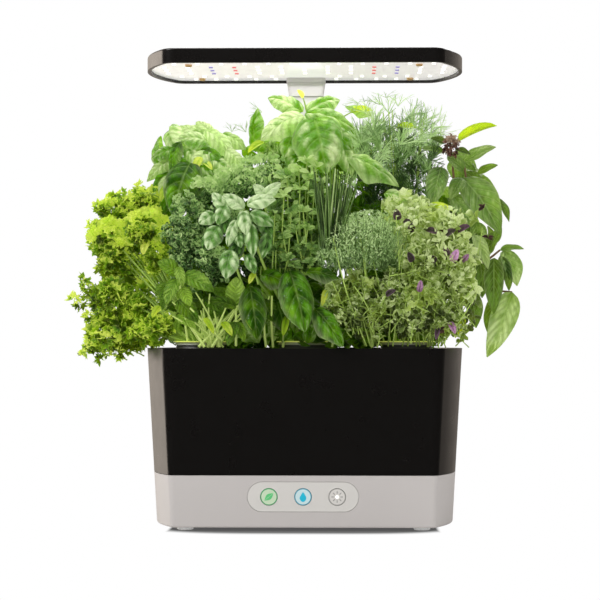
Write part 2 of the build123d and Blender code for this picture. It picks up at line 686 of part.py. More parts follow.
def bowl():
    """Tapered water bowl with an inner ledge for the deck and a channel for the mast."""
    foot_inset = BODY_WALL + NEST_CLEARANCE
    outer = body_block(bowl_step, RIM_HEIGHT) + body_block(bowl_bottom, bowl_step, foot_inset)
    low_room = body_block(tank_floor, bowl_step + BODY_WALL, foot_inset + BODY_WALL)
    main_room = body_block(bowl_step + BODY_WALL, ledge_bottom, BODY_WALL)
    mouth = body_block(ledge_bottom, deck_bottom, BODY_WALL + LEDGE_WIDTH)
    rim_room = body_block(deck_bottom, RIM_HEIGHT, BODY_WALL)
    kept = mast_channel(BODY_WALL, tank_floor, RIM_HEIGHT)
    rooms = (low_room + main_room + mouth + rim_room) - kept
    shell = outer - rooms - mast_channel(0.0, bowl_bottom, RIM_HEIGHT)
    for x in (-CONTACT_PITCH / 2, CONTACT_PITCH / 2):
        shell -= post(CONTACT_RADIUS + 1.0, bowl_bottom, tank_floor, CONTACT_X + x, CONTACT_Y)
    return shell


def bowl_contacts():
    """Moulded-in plates that carry power from the base pins to the pump."""
    plates = []
    for x in (-CONTACT_PITCH / 2, CONTACT_PITCH / 2):
        plate = post(CONTACT_RADIUS + 1.0, bowl_bottom, tank_floor, CONTACT_X + x, CONTACT_Y)
        stud = post(CONTACT_RADIUS * 0.6, tank_floor, tank_floor + PLATE_STUD,
                    CONTACT_X + x, CONTACT_Y)
        plates.append(plate + stud)
    return group(plates)


def grow_deck():
    """Deck plate with six raised collars, a fill port and a skirt under its edge."""
    plate = body_block(deck_bottom, deck_top, BODY_WALL + NEST_CLEARANCE)
    plate -= mast_channel(BODY_WALL + NEST_CLEARANCE, deck_bottom, deck_top)
    rim = plate.faces().sort_by(Axis.Z)[-1].outer_wire().edges()
    plate = chamfer(rim, DECK_THICKNESS / 4)
    ring = Circle(pod_collar_radius)
    for x, y in pod_places:
        dome = Pos(x, y, deck_top) * extrude(
            ring, amount=POD_COLLAR_HEIGHT, taper=POD_COLLAR_DRAFT)
        plate += dome
        plate -= post(POD_HOLE_RADIUS, deck_bottom, collar_top, x, y)
    lip = round_bar(PORT_WIDTH + 2 * PORT_LIP, PORT_DEPTH + 2 * PORT_LIP,
                    deck_bottom, deck_top + PORT_LIP / 2, PORT_DEPTH / 3, 0, port_y)
    plate += lip
    plate -= round_bar(PORT_WIDTH, PORT_DEPTH, deck_bottom, deck_top + PORT_LIP / 2,
                       PORT_DEPTH / 3 - PORT_LIP, 0, port_y)
    return plate


# ---- pods ----
def grow_basket():
    """Slotted conical basket hung by its flange, drawn once about the Z axis."""
    top_radius = POD_HOLE_RADIUS - NEST_CLEARANCE
    low = collar_top - BASKET_LENGTH
    skirt = deck_bottom
    profile = Polyline(
        (0, low), (BASKET_LOW_RADIUS, low), (top_radius, skirt), (top_radius, collar_top),
        (basket_flange_radius, collar_top),
        (basket_flange_radius - BASKET_FLANGE_SLOPE, flange_top),
        (top_radius - BASKET_WALL, flange_top), (top_radius - BASKET_WALL, skirt),
        (BASKET_LOW_RADIUS - BASKET_WALL, low + BASKET_WALL), (0, low + BASKET_WALL),
        close=True)
    cup = revolve(Plane.XZ * make_face(profile), Axis.Z)
    slot_top = skirt - SLOT_WIDTH
    slot = Plane(origin=(0, 0, slot_top - SLOT_LENGTH / 2), x_dir=(0, 0, 1), z_dir=(1, 0, 0))
    cutter = extrude(slot * SlotOverall(SLOT_LENGTH, SLOT_WIDTH), amount=POD_HOLE_RADIUS + 2)
    for i in range(SLOT_COUNT):
        cup -= Rot(0, 0, i * 360 / SLOT_COUNT) * cutter
    drain = Pos(BASKET_LOW_RADIUS / 2, 0, low) * Cylinder(DRAIN_RADIUS, BASKET_WALL * 2.5)
    for i in range(SLOT_COUNT // 2):
        cup -= Rot(0, 0, (i + 0.5) * 720 / SLOT_COUNT) * drain
    return cup


def grow_sponge():
    """Tapered growing sponge that fills the upper part of its basket."""
    top_radius = POD_HOLE_RADIUS - NEST_CLEARANCE - BASKET_WALL - SEAT_GAP
    slope = (POD_HOLE_RADIUS - NEST_CLEARANCE - BASKET_LOW_RADIUS) / (
        BASKET_LENGTH - (collar_top - deck_bottom))
    sponge_low = flange_top - SPONGE_LENGTH
    low_radius = top_radius - slope * (deck_bottom - sponge_low)
    profile = Polyline((0, sponge_low), (low_radius, sponge_low), (top_radius, deck_bottom),
                       (top_radius, flange_top), (0, flange_top), close=True)
    return revolve(Plane.XZ * make_face(profile), Axis.Z)


def pod_label():
    disc = post(label_radius, flange_top, label_top)
    return disc - post(LABEL_HOLE_RADIUS, flange_top, label_top)


# ---- plants ----
def canopy_cell(x, y):
    """Low and high corners of the space that one plant fills."""
    column_edge = POD_COLUMN_X / 2 + POD_HOLE_RADIUS / 2
    if x < 0:
        x_low, x_high = -CANOPY_HALF_WIDTH, -column_edge - CANOPY_GAP / 2
    elif x > 0:
        x_low, x_high = column_edge + CANOPY_GAP / 2, CANOPY_HALF_WIDTH
    else:
        x_low, x_high = -column_edge + CANOPY_GAP / 2, column_edge - CANOPY_GAP / 2
    if y < 0:
        y_low, y_high = -CANOPY_HALF_DEPTH, -CANOPY_GAP / 2
    else:
        y_low, y_high = CANOPY_GAP / 2, CANOPY_HALF_DEPTH
    if x == 0 and y > 0:
        y_high = mast_y - TOWER_DEPTH / 2 - MAST_LEAF_GAP
    return x_low, x_high, y_low, y_high


def canopy_section(cell, pod, spread, height):
    """Cross-section of a canopy; spread runs from 0 at the pod to 1 over the whole cell."""
    x_low, x_high, y_low, y_high = cell
    width, depth = (x_high - x_low) * spread, (y_high - y_low) * spread
    centre_x = pod[0] + ((x_low + x_high) / 2 - pod[0]) * spread
    centre_y = pod[1] + ((y_low + y_high) / 2 - pod[1]) * spread
    face = Pos(centre_x, centre_y, height) * Rectangle(width, depth)
    return chamfer(face.vertices(), min(width, depth) * CANOPY_CORNER)


def canopy_block(cell, pod, top):
    """Solid through all the cross-sections of a canopy, with its top at a height."""
    reach = canopy_top - canopy_low
    heights = [min(canopy_low + reach * rise, top) for _, rise in CANOPY_STEPS]
    return loft([canopy_section(cell, pod, spread, height)
                 for (spread, _), height in zip(CANOPY_STEPS, heights)], ruled=True)


def plant(x, y):
    """Hollow leafy canopy, open below, on a stalk that stands on the sponge."""
    cell = canopy_cell(x, y)
    inner_cell = (cell[0] + LEAF_SHELL, cell[1] - LEAF_SHELL,
                  cell[2] + LEAF_SHELL, cell[3] - LEAF_SHELL)
    crown = canopy_block(cell, (x, y), canopy_top)
    crown -= canopy_block(inner_cell, (x, y), canopy_top - LEAF_SHELL)
    stalk = post(STALK_RADIUS, flange_top + SEAT_GAP, canopy_top - LEAF_SHELL / 2, x, y)
    return crown + stalk


# ---- pump ----
intake_top = tank_floor + INTAKE_HEIGHT
impeller_low = intake_top + LIFT_GAP
impeller_high = impeller_low + IMPELLER_HEIGHT
rotor_high = impeller_high + ROTOR_LENGTH
pump_top = tank_floor + PUMP_HEIGHT
coil_low = impeller_high + COIL_LIFT
coil_high = pump_top - PUMP_WALL
shaft_top = pump_top - PUMP_WALL - SHAFT_SEAT
riser_y = PUMP_Y + PUMP_RADIUS + RISER_RADIUS - RISER_OVERLAP


def pump_cover():
    """Foot of the pump: a ring of intake slots and the lower shaft seat."""
    low, high = tank_floor, intake_top
    disc = post(PUMP_RADIUS, low, high, PUMP_X, PUMP_Y)
    disc -= post(PUMP_RADIUS - PUMP_WALL, low + PUMP_FLOOR, high, PUMP_X, PUMP_Y)
    disc += post(SHAFT_SEAT_RADIUS, low, high, PUMP_X, PUMP_Y)
    disc -= post(SHAFT_RADIUS, low + PUMP_FLOOR, high, PUMP_X, PUMP_Y)
    slot = Pos(PUMP_RADIUS, 0, low + PUMP_FLOOR) * Box(
        PUMP_WALL * 4, INTAKE_SLOT_WIDTH, high - low - PUMP_FLOOR, align=UP)
    for i in range(INTAKE_SLOTS):
        disc -= Pos(PUMP_X, PUMP_Y, 0) * (Rot(0, 0, i * 360 / INTAKE_SLOTS) * slot)
    return disc


def pump_housing():
    """Moulded pump body with the impeller chamber, rotor bore and coil pocket."""
    body = post(PUMP_RADIUS, intake_top, pump_top, PUMP_X, PUMP_Y)
    body -= post(IMPELLER_RADIUS + CHAMBER_GAP, intake_top, impeller_high + ROOF_GAP,
                 PUMP_X, PUMP_Y)
    body -= post(ROTOR_RADIUS + ROTOR_GAP, intake_top, rotor_high + ROOF_GAP, PUMP_X, PUMP_Y)
    body -= post(SHAFT_RADIUS, rotor_high, shaft_top, PUMP_X, PUMP_Y)
    pocket = post(PUMP_RADIUS - PUMP_WALL, coil_low, coil_high, PUMP_X, PUMP_Y)
    pocket -= post(ROTOR_RADIUS + COIL_SLEEVE, coil_low, coil_high, PUMP_X, PUMP_Y)
    body -= pocket
    outside = RISER_RADIUS + RISER_WALL
    seat = pump_top - RISER_SEAT
    body -= post(outside, seat, pump_top, PUMP_X, riser_y)
    spout = post(outside, intake_top, seat, PUMP_X, riser_y)
    spout -= post(RISER_RADIUS, intake_top + CHAMBER_GAP, seat, PUMP_X, riser_y)
    throat = Pos(PUMP_X, PUMP_Y + HUB_RADIUS * 2, impeller_low + LIFT_GAP) * Box(
        THROAT_WIDTH, riser_y - PUMP_Y - HUB_RADIUS * 2, THROAT_HEIGHT,
        align=(Align.CENTER, Align.MIN, Align.MIN))
    return body + spout - throat


def pump_coil():
    ring = post(PUMP_RADIUS - PUMP_WALL - LINE_GAP, coil_low, coil_high, PUMP_X, PUMP_Y)
    return ring - post(ROTOR_RADIUS + COIL_SLEEVE + LINE_GAP, coil_low, coil_high, PUMP_X, PUMP_Y)


def pump_shaft():
    return post(SHAFT_RADIUS, tank_floor + PUMP_FLOOR, shaft_top, PUMP_X, PUMP_Y)


def impeller():
    """Six straight blades on a hub, under the magnet rotor."""
    body = post(HUB_RADIUS, impeller_low, impeller_high, PUMP_X, PUMP_Y)
    blade = Pos(IMPELLER_RADIUS / 2, 0, impeller_low) * Box(
        IMPELLER_RADIUS, BLADE_THICKNESS, IMPELLER_HEIGHT, align=UP)
    for i in range(IMPELLER_BLADES):
        body += Pos(PUMP_X, PUMP_Y, 0) * (Rot(0, 0, i * 360 / IMPELLER_BLADES) * blade)
    body += post(ROTOR_RADIUS, impeller_high, rotor_high, PUMP_X, PUMP_Y)
    return body - post(SHAFT_RADIUS + SHAFT_CLEARANCE, impeller_low, rotor_high, PUMP_X, PUMP_Y)


def pump_filter():
    """Foam sleeve round the intake ring."""
    ring = post(PUMP_RADIUS + SEAT_GAP + FILTER_THICKNESS, tank_floor, intake_top, PUMP_X, PUMP_Y)
    return ring - post(PUMP_RADIUS + SEAT_GAP, tank_floor, intake_top, PUMP_X, PUMP_Y)


def pump_riser():
    """Tube that lifts the water to just under the deck."""
    low, high = pump_top - RISER_SEAT, deck_bottom - SEAT_GAP
    tube = post(RISER_RADIUS + RISER_WALL, low, high, PUMP_X, riser_y)
    tube -= post(RISER_RADIUS, low, high, PUMP_X, riser_y)
    notch = Pos(RISER_RADIUS, 0, high - RISER_NOTCH_LENGTH) * Box(
        RISER_WALL * 4, RISER_NOTCH_WIDTH, RISER_NOTCH_LENGTH / 2, align=UP)
    for i in range(4):
        tube -= Pos(PUMP_X, riser_y, 0) * (Rot(0, 0, 45 + i * 90) * notch)
    return tube


# ---- assembly ----
def build():
    nodes = {
        "base_shell": base_shell(),
        "base_floor_plate": base_floor_plate(),
        "rubber_feet": rubber_feet(),
        "base_screws": base_screws(),
        "control_panel": control_panel(),
        "control_board": control_board(),
        "tact_switches": tact_switches(),
        "indicator_leds": indicator_leds(),
        "dc_inlet": dc_inlet(),
        "main_board": main_board(),
        "base_contacts": base_contacts(),
        "mast_tower": mast_tower(),
        "mast_bush": mast_bush(),
        "mast_tube": mast_tube(),
        "mast_shoe": mast_shoe(),
        "mast_bracket": mast_bracket(),
        "mast_collar": mast_collar(),
        "hood_housing": hood_housing(),
        "light_board": light_board(),
        "hood_screws": hood_screws(),
        "bowl": bowl(),
        "bowl_contacts": bowl_contacts(),
        "grow_deck": grow_deck(),
        "pump_cover": pump_cover(),
        "pump_housing": pump_housing(),
        "pump_coil": pump_coil(),
        "pump_shaft": pump_shaft(),
        "pump_filter": pump_filter(),
        "pump_riser": pump_riser(),
        "impeller": impeller(),
    }
    for name, x in zip(BUTTON_NAMES, button_places):
        nodes[name] = button(x)
    for colour in ("white", "red", "blue"):
        nodes["leds_" + colour] = light_leds(colour)
    basket, sponge, label = grow_basket(), grow_sponge(), pod_label()
    for number, (x, y) in enumerate(pod_places, start=1):
        place = Pos(x, y, 0)
        nodes[f"grow_basket_{number}"] = place * basket
        nodes[f"grow_sponge_{number}"] = place * sponge
        nodes[f"pod_label_{number}"] = place * label
        nodes[f"plant_{number}"] = plant(x, y)
    return nodes


if __name__ == "__main__":
    os.makedirs("parts", exist_ok=True)
    for node, shape in build().items():
        export_step(shape, f"parts/{node}.step")
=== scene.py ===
import json
import logging
import math
import random
from dataclasses import dataclass, field
from enum import Enum

import bmesh
import bpy
import numpy as np
from mathutils import Matrix, Vector

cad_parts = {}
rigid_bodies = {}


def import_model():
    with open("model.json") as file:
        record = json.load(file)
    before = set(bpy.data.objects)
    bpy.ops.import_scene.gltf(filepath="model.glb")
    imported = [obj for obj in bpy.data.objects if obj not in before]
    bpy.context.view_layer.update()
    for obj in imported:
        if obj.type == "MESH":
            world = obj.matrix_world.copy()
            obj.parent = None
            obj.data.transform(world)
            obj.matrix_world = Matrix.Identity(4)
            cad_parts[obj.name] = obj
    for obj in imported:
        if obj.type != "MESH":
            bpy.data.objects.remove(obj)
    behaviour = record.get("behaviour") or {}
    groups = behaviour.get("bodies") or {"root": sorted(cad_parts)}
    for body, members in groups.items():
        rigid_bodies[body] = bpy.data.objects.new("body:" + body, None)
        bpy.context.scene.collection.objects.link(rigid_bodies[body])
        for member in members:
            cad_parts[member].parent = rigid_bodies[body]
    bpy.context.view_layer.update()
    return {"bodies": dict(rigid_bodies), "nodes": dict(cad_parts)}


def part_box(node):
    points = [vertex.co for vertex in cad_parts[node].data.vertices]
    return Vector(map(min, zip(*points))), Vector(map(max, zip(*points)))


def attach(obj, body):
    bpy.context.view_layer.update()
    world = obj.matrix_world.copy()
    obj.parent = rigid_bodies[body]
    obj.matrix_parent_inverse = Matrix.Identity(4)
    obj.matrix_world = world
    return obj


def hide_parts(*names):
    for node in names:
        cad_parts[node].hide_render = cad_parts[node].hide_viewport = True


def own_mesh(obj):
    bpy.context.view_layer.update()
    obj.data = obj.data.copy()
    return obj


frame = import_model()

LOG = logging.getLogger("garden")
MM = 0.001
Colour = tuple[float, float, float, float]
Screen = tuple[int, int, int]
Point = tuple[float, float, float]
Socket = bpy.types.NodeSocket
Value = Socket | float
Tint = Socket | Colour


def shade_of(red: int, green: int, blue: int) -> Colour:
    """A colour from its screen values.

    Args:
        red: red, 0 to 255.
        green: green, 0 to 255.
        blue: blue, 0 to 255.

    Returns:
        The linear colour with full alpha.
    """
    levels = [value / 255 for value in (red, green, blue)]
    linear = [v / 12.92 if v <= 0.04045 else ((v + 0.055) / 1.055) ** 2.4 for v in levels]
    return (linear[0], linear[1], linear[2], 1.0)


# ---------------------------------------------------------------- shader graphs


class Graph:
    """Adds and joins the nodes of one node tree."""

    def __init__(self, tree: bpy.types.NodeTree) -> None:
        """Keeps the tree."""
        self.tree = tree

    def node(self, kind: str, inputs: dict | None = None, **settings) -> bpy.types.Node:
        """Adds a node.

        Args:
            kind: the node's type.
            inputs: values or sockets for its inputs, by name or number.
            settings: the node's own properties.

        Returns:
            The new node.
        """
        made = self.tree.nodes.new(kind)
        for key, value in settings.items():
            setattr(made, key, value)
        for key, value in (inputs or {}).items():
            if isinstance(value, Socket):
                self.tree.links.new(value, made.inputs[key])
            else:
                made.inputs[key].default_value = value
        return made

    def math(self, operation: str, a: Value, b: Value = 0.0) -> Socket:
        """Sum, product or other operation of two values."""
        return self.node("ShaderNodeMath", {0: a, 1: b}, operation=operation).outputs[0]

    def times(self, a: Value, b: Value) -> Socket:
        """Product of two values."""
        return self.math("MULTIPLY", a, b)

    def plus(self, a: Value, b: Value) -> Socket:
        """Sum of two values."""
        return self.math("ADD", a, b)

    def less(self, a: Value, b: Value) -> Socket:
        """The first value less the second."""
        return self.math("SUBTRACT", a, b)

    def mix(self, share: Value, a: Tint, b: Tint) -> Socket:
        """Mix of two colours by a share."""
        return self.node("ShaderNodeMix", {0: share, 6: a, 7: b}, data_type="RGBA").outputs[2]

    def blend(self, share: Value, a: bpy.types.Node, b: bpy.types.Node) -> bpy.types.Node:
        """Mix of two shaders by a share."""
        return self.node("ShaderNodeMixShader", {0: share, 1: a.outputs[0], 2: b.outputs[0]})

    def scaled(self, colour: Tint, factor: Value) -> Socket:
        """A colour times a factor."""
        made = self.node("ShaderNodeVectorMath", {0: colour, 3: factor}, operation="SCALE")
        return made.outputs[0]

    def ramp(self, value: Socket, low: float, high: float, start: float = 0.0,
             end: float = 1.0) -> Socket:
        """Smooth step of a value from start at low to end at high."""
        made = self.node("ShaderNodeMapRange", {0: value, 1: low, 2: high, 3: start, 4: end},
                         interpolation_type="SMOOTHSTEP")
        return made.outputs[0]

    def noise(self, place: Socket, scale: Value, detail: float = 2.0) -> Socket:
        """Noise value at a place."""
        made = self.node("ShaderNodeTexNoise", {"Vector": place, "Scale": scale, "Detail": detail})
        return made.outputs["Fac"]

    def object_place(self) -> Socket:
        """Place in the object's own coordinates."""
        return self.node("ShaderNodeTexCoord").outputs["Object"]

    def parts(self, vector: Socket) -> bpy.types.NodeOutputs:
        """The three parts of a vector."""
        return self.node("ShaderNodeSeparateXYZ", {0: vector}).outputs

    def finish(self, shader: bpy.types.Node, kind: str = "Material") -> None:
        """Sends a shader to the tree's output."""
        self.node("ShaderNodeOutput" + kind, {0: shader.outputs[0]})


class SharedGroup:
    """A node group with named inputs and outputs, built once."""

    def __init__(self, name: str, inputs: dict[str, object], outputs: dict[str, str]) -> None:
        """Makes the group's sockets.

        Args:
            name: the group's name.
            inputs: default of each input; a tuple is a colour.
            outputs: socket type of each output.
        """
        self.tree = bpy.data.node_groups.new(name, "ShaderNodeTree")
        for key, value in inputs.items():
            kind = "NodeSocketColor" if isinstance(value, tuple) else "NodeSocketFloat"
            made = self.tree.interface.new_socket(key, in_out="INPUT", socket_type=kind)
            made.default_value = value
        for key, kind in outputs.items():
            self.tree.interface.new_socket(key, in_out="OUTPUT", socket_type=kind)
        self.graph = Graph(self.tree)
        self.given = self.tree.nodes.new("NodeGroupInput").outputs
        self.result = self.tree.nodes.new("NodeGroupOutput").inputs

    def put(self, name: str, socket: Socket) -> None:
        """Sends a socket to the output of that name."""
        self.tree.links.new(socket, self.result[name])


def moulded_group() -> bpy.types.NodeTree:
    """Surface of moulded plastic, metal or rubber.

    Returns:
        The group: mottled colour, uneven roughness and fine grain as height.
    """
    group = SharedGroup("moulded_surface",
                        {"Color": (0.5, 0.5, 0.5, 1.0), "Roughness": 0.5, "Grain": 2500.0,
                         "Mottle": 0.06},
                        {"Color": "NodeSocketColor", "Roughness": "NodeSocketFloat",
                         "Height": "NodeSocketFloat"})
    g, given = group.graph, group.given
    place = g.object_place()
    broad = g.noise(place, 16.0, 3.0)
    swing = g.times(g.less(broad, 0.5), given["Mottle"])
    handled = g.times(g.less(g.noise(place, 60.0, 4.0), 0.5), 0.16)
    group.put("Color", g.scaled(given["Color"], g.plus(swing, 1.0)))
    group.put("Roughness", g.plus(given["Roughness"], handled))
    group.put("Height", g.noise(place, given["Grain"], 2.0))
    return group.tree


def leaf_group() -> bpy.types.NodeTree:
    """Surface of a leaf with midrib, side veins and the net between them.

    Returns:
        The group: colour of the face with painted light and shade, of the light through it and of
            its painted glow, and height.
    """
    green = (0.1, 0.3, 0.05, 1.0)
    group = SharedGroup("leaf_surface",
                        {"Dark": green, "Middle": green, "Light": green, "Vein": green,
                         "Glow": green, "Ribs": 7.0, "Rib Mark": 0.5, "Net": 30.0, "Mottle": 0.5,
                         "Gold": 0.0},
                        {"Color": "NodeSocketColor", "Through": "NodeSocketColor",
                         "Shine": "NodeSocketColor", "Height": "NodeSocketFloat"})
    g, given = group.graph, group.given
    place = g.object_place()
    chart = g.node("ShaderNodeUVMap", uv_map="UVMap").outputs[0]
    across, along, _ = g.parts(chart)
    side = g.times(g.math("ABSOLUTE", g.less(across, 0.5)), 2.0)
    midrib = g.ramp(side, 0.02, 0.10, 1.0, 0.0)
    slant = g.less(along, g.times(side, 0.3))
    phase = g.math("FRACT", g.times(slant, given["Ribs"]))
    away = g.math("ABSOLUTE", g.less(phase, 0.5))
    veins = g.ramp(away, 0.02, 0.15, 1.0, 0.0)
    net = g.node("ShaderNodeTexVoronoi", {"Vector": chart, "Scale": given["Net"]},
                 feature="DISTANCE_TO_EDGE").outputs[0]
    # Painted light and shade: the shade attribute makes each leaf lighter where it is lit and
    # darker inside the plant, underneath and in its creases; the clouds add random blotches. The
    # level picks between the dark, middle and light colours.
    own = g.node("ShaderNodeAttribute", attribute_name="shade").outputs["Fac"]
    cloud = g.less(g.noise(place, 130.0, 3.0), 0.5)
    patch = g.less(g.noise(place, 52.0, 1.0), 0.5)
    clouds = g.plus(g.times(cloud, 0.8), g.times(patch, 1.1))
    mottled = g.plus(own, g.times(clouds, given["Mottle"]))
    level = g.plus(g.times(mottled, 1.5), -0.3)
    low = g.mix(g.ramp(level, 0.0, 0.5), given["Dark"], given["Middle"])
    gold = g.times(g.ramp(g.noise(place, 48.0, 2.0), 0.5, 0.68), given["Gold"])
    plain = g.mix(gold, g.mix(g.ramp(level, 0.5, 1.3), low, given["Light"]), given["Glow"])
    # Painted shade: the face is darker in the creases along the veins and lighter between them.
    crease_shade = g.times(g.ramp(away, 0.05, 0.4, -0.35, 0.1), given["Rib Mark"])
    body = g.scaled(plain, g.plus(1.0, crease_shade))
    lines = g.math("MAXIMUM", midrib, g.times(veins, 0.7))
    ribbed = g.mix(g.times(lines, given["Rib Mark"]), body, given["Vein"])
    # Painted highlight: the blade's edges lean towards the light colour.
    rim = g.times(g.math("POWER", side, 7.0), 0.5)
    through = g.mix(0.55, ribbed, given["Glow"])
    between = g.times(g.ramp(away, 0.0, 0.5, 0.0, 1.6), given["Rib Mark"])
    swell = g.plus(g.times(g.ramp(net, 0.0, 0.3), 0.5), between)
    group.put("Color", g.mix(rim, ribbed, given["Light"]))
    group.put("Through", through)
    # Painted glow: the colour of the light through the leaf, stronger where the leaf is painted
    # lighter, which the leaf gives out as its own light.
    group.put("Shine", g.scaled(through, g.ramp(level, 0.2, 1.3)))
    group.put("Height", g.less(swell, g.times(lines, 0.9)))
    return group.tree


MOULDED = moulded_group()
LEAFY = leaf_group()
GRAIN_DEPTH = 0.0005
VEIN_DEPTH = 0.0012


def new_material(name: str) -> tuple[bpy.types.Material, Graph]:
    """An empty material.

    Args:
        name: the material's name.

    Returns:
        The material and its graph.
    """
    material = bpy.data.materials.new(name)
    material.use_nodes = True
    material.node_tree.nodes.clear()
    return material, Graph(material.node_tree)


def hard_shader(g: Graph, surface: dict, relief: float, glow: float, **more) -> bpy.types.Node:
    """Adds the shader of a hard surface.

    Args:
        g: the material's graph.
        surface: values or sockets for the inputs of the moulded surface.
        relief: how strongly its grain shows.
        glow: how much light of its own it gives.
        more: values of the shader's other inputs, with _ for a space in their names.

    Returns:
        The shader.
    """
    skin = g.node("ShaderNodeGroup", surface, node_tree=MOULDED).outputs
    bump = g.node("ShaderNodeBump", {"Height": skin["Height"], "Strength": relief,
                                     "Distance": GRAIN_DEPTH})
    inputs = {"Base Color": skin["Color"], "Roughness": skin["Roughness"],
              "Normal": bump.outputs[0]}
    if glow:
        inputs |= {"Emission Color": skin["Color"], "Emission Strength": glow}
    inputs |= {key.replace("_", " "): value for key, value in more.items()}
    return g.node("ShaderNodeBsdfPrincipled", inputs)


@dataclass(frozen=True)
class Moulded:
    """Finish of a hard piece: plastic, rubber, metal or ceramic."""

    name: str
    colour: Screen
    roughness: float = 0.45
    grain: float = 2500.0
    relief: float = 0.03
    mottle: float = 0.06
    metallic: float = 0.0
    specular: float = 0.5
    coat: float = 0.0
    clear: float = 0.0
    glow: float = 0.0

    def make(self) -> bpy.types.Material:
        """Builds the material.

        Returns:
            The material.
        """
        material, g = new_material(self.name)
        surface = {"Color": shade_of(*self.colour), "Roughness": self.roughness,
                   "Grain": self.grain, "Mottle": self.mottle}
        g.finish(hard_shader(g, surface, self.relief, self.glow, Metallic=self.metallic,
                             Specular_IOR_Level=self.specular, Coat_Weight=self.coat,
                             Transmission_Weight=self.clear))
        return material


@dataclass(frozen=True)
class LeafFinish:
    """Finish of one kind of leaf, from its shaded to its sunlit colour."""

    name: str
    dark: Screen
    middle: Screen
    light: Screen
    vein: Screen
    glow: Screen
    ribs: float = 7.0
    rib_mark: float = 0.45
    net: float = 26.0
    mottle: float = 0.5
    roughness: float = 0.45
    through: float = 0.35
    relief: float = 0.6
    gold: float = 0.0
    # Strength of the painted glow: the leaf gives out light of its own, more where it is painted
    # lighter.
    lift: float = 0.0

    def make(self) -> bpy.types.Material:
        """Builds the material.

        Returns:
            The material.
        """
        material, g = new_material(self.name)
        surface = {"Dark": shade_of(*self.dark), "Middle": shade_of(*self.middle),
                   "Light": shade_of(*self.light), "Vein": shade_of(*self.vein),
                   "Glow": shade_of(*self.glow), "Ribs": self.ribs, "Rib Mark": self.rib_mark,
                   "Net": self.net, "Mottle": self.mottle, "Gold": self.gold}
        skin = g.node("ShaderNodeGroup", surface, node_tree=LEAFY).outputs
        bump = g.node("ShaderNodeBump", {"Height": skin["Height"], "Strength": self.relief,
                                         "Distance": VEIN_DEPTH})
        # The emission is the painted glow.
        blade = g.node("ShaderNodeBsdfPrincipled",
                       {"Base Color": skin["Color"], "Roughness": self.roughness,
                        "Normal": bump.outputs[0], "Specular IOR Level": 0.7,
                        "Emission Color": skin["Shine"], "Emission Strength": self.lift})
        behind = g.node("ShaderNodeBsdfTranslucent", {"Color": skin["Through"]})
        g.finish(g.blend(self.through, blade, behind))
        return material


# ---------------------------------------------------------------- pieces in general


def dress(node: str, material: bpy.types.Material) -> None:
    """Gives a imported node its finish.

    Args:
        node: the node's name.
        material: its finish.
    """
    piece = frame["nodes"][node]
    if not piece.material_slots:
        piece.data.materials.append(material)
    for place in piece.material_slots:
        place.material = material


def add_piece(name: str, mesh: bpy.types.Mesh, body: str,
              materials: list[bpy.types.Material]) -> bpy.types.Object:
    """Adds a finished mesh as a piece.

    Args:
        name: the piece's name.
        mesh: its mesh, already in place.
        body: the body it moves with.
        materials: its materials, in order.

    Returns:
        The piece.
    """
    for material in materials:
        mesh.materials.append(material)
    piece = bpy.data.objects.new(name, mesh)
    bpy.context.scene.collection.objects.link(piece)
    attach(piece, body)
    return piece


# ---------------------------------------------------------------- planting plan

EYE = Vector((0.037, -1.726, 0.1607))
EYE_TURN = math.radians(1.364)
EYE_LENS = 121.7
SENSOR = 36.0
PLAN_SIDE = 600.0
PLAN_LEVEL = 335.0
STEP = 0.85  # mm at the garden for one step of the grid
DECK = 0.152  # height of the pods' mouths in metres, where the stems start
LEFT_FRONT = Vector((-0.086, -0.034, DECK))
LEFT_BACK = Vector((-0.086, 0.034, DECK))
MIDDLE_FRONT = Vector((0.0, -0.0266, DECK))
MIDDLE_BACK = Vector((0.0, 0.0204, DECK))
RIGHT_BACK = Vector((0.086, 0.034, DECK))


def plan(column: float, row: float, depth: float) -> Vector:
    """Place of a point drawn on the front view.

    The front view is a grid of 600 columns and rows that the eye point looks through; row 335
    is level with the eye.

    Args:
        column: column on the grid.
        row: row on the grid, from the top.
        depth: distance behind the middle of the garden, in mm.

    Returns:
        The place in metres.
    """
    pitch = SENSOR / EYE_LENS / PLAN_SIDE
    aside = (column - PLAN_SIDE / 2) * pitch
    reach = (depth * MM - EYE.y) / (math.cos(EYE_TURN) + aside * math.sin(EYE_TURN))
    return Vector((EYE.x + reach * (aside * math.cos(EYE_TURN) - math.sin(EYE_TURN)), depth * MM,
                   EYE.z + reach * (PLAN_LEVEL - row) * pitch))


def lobe(row: tuple) -> tuple[Vector, Point, int, float, float]:
    """Reads a rounded part of a crop; a step of the grid is STEP mm at the garden.

    Args:
        row: its column, row and depth, its half width and height in grid steps, its half depth
            in mm, how many leaves it has, and its lowest and highest shade.

    Returns:
        Its centre, its half sizes in mm, its count and its shades.
    """
    column, line, depth, wide, high, deep, count, low, top = row
    return plan(column, line, depth), (wide * STEP, deep, high * STEP), count, low, top


# ---------------------------------------------------------------- leaf templates


def blade_grid(columns: int, rows: int) -> tuple[bmesh.types.BMesh, bmesh.types.BMLayerItem]:
    """A flat blade from -1 to 1, charted from edge to edge.

    Args:
        columns: faces across.
        rows: faces along.

    Returns:
        The bmesh and its layer for the painted shade of each point.
    """
    bm = bmesh.new()
    bm.loops.layers.uv.new("UVMap")
    shade = bm.verts.layers.float.new("shade")
    bmesh.ops.create_grid(bm, x_segments=columns, y_segments=rows, size=1.0, calc_uvs=True)
    return bm, shade


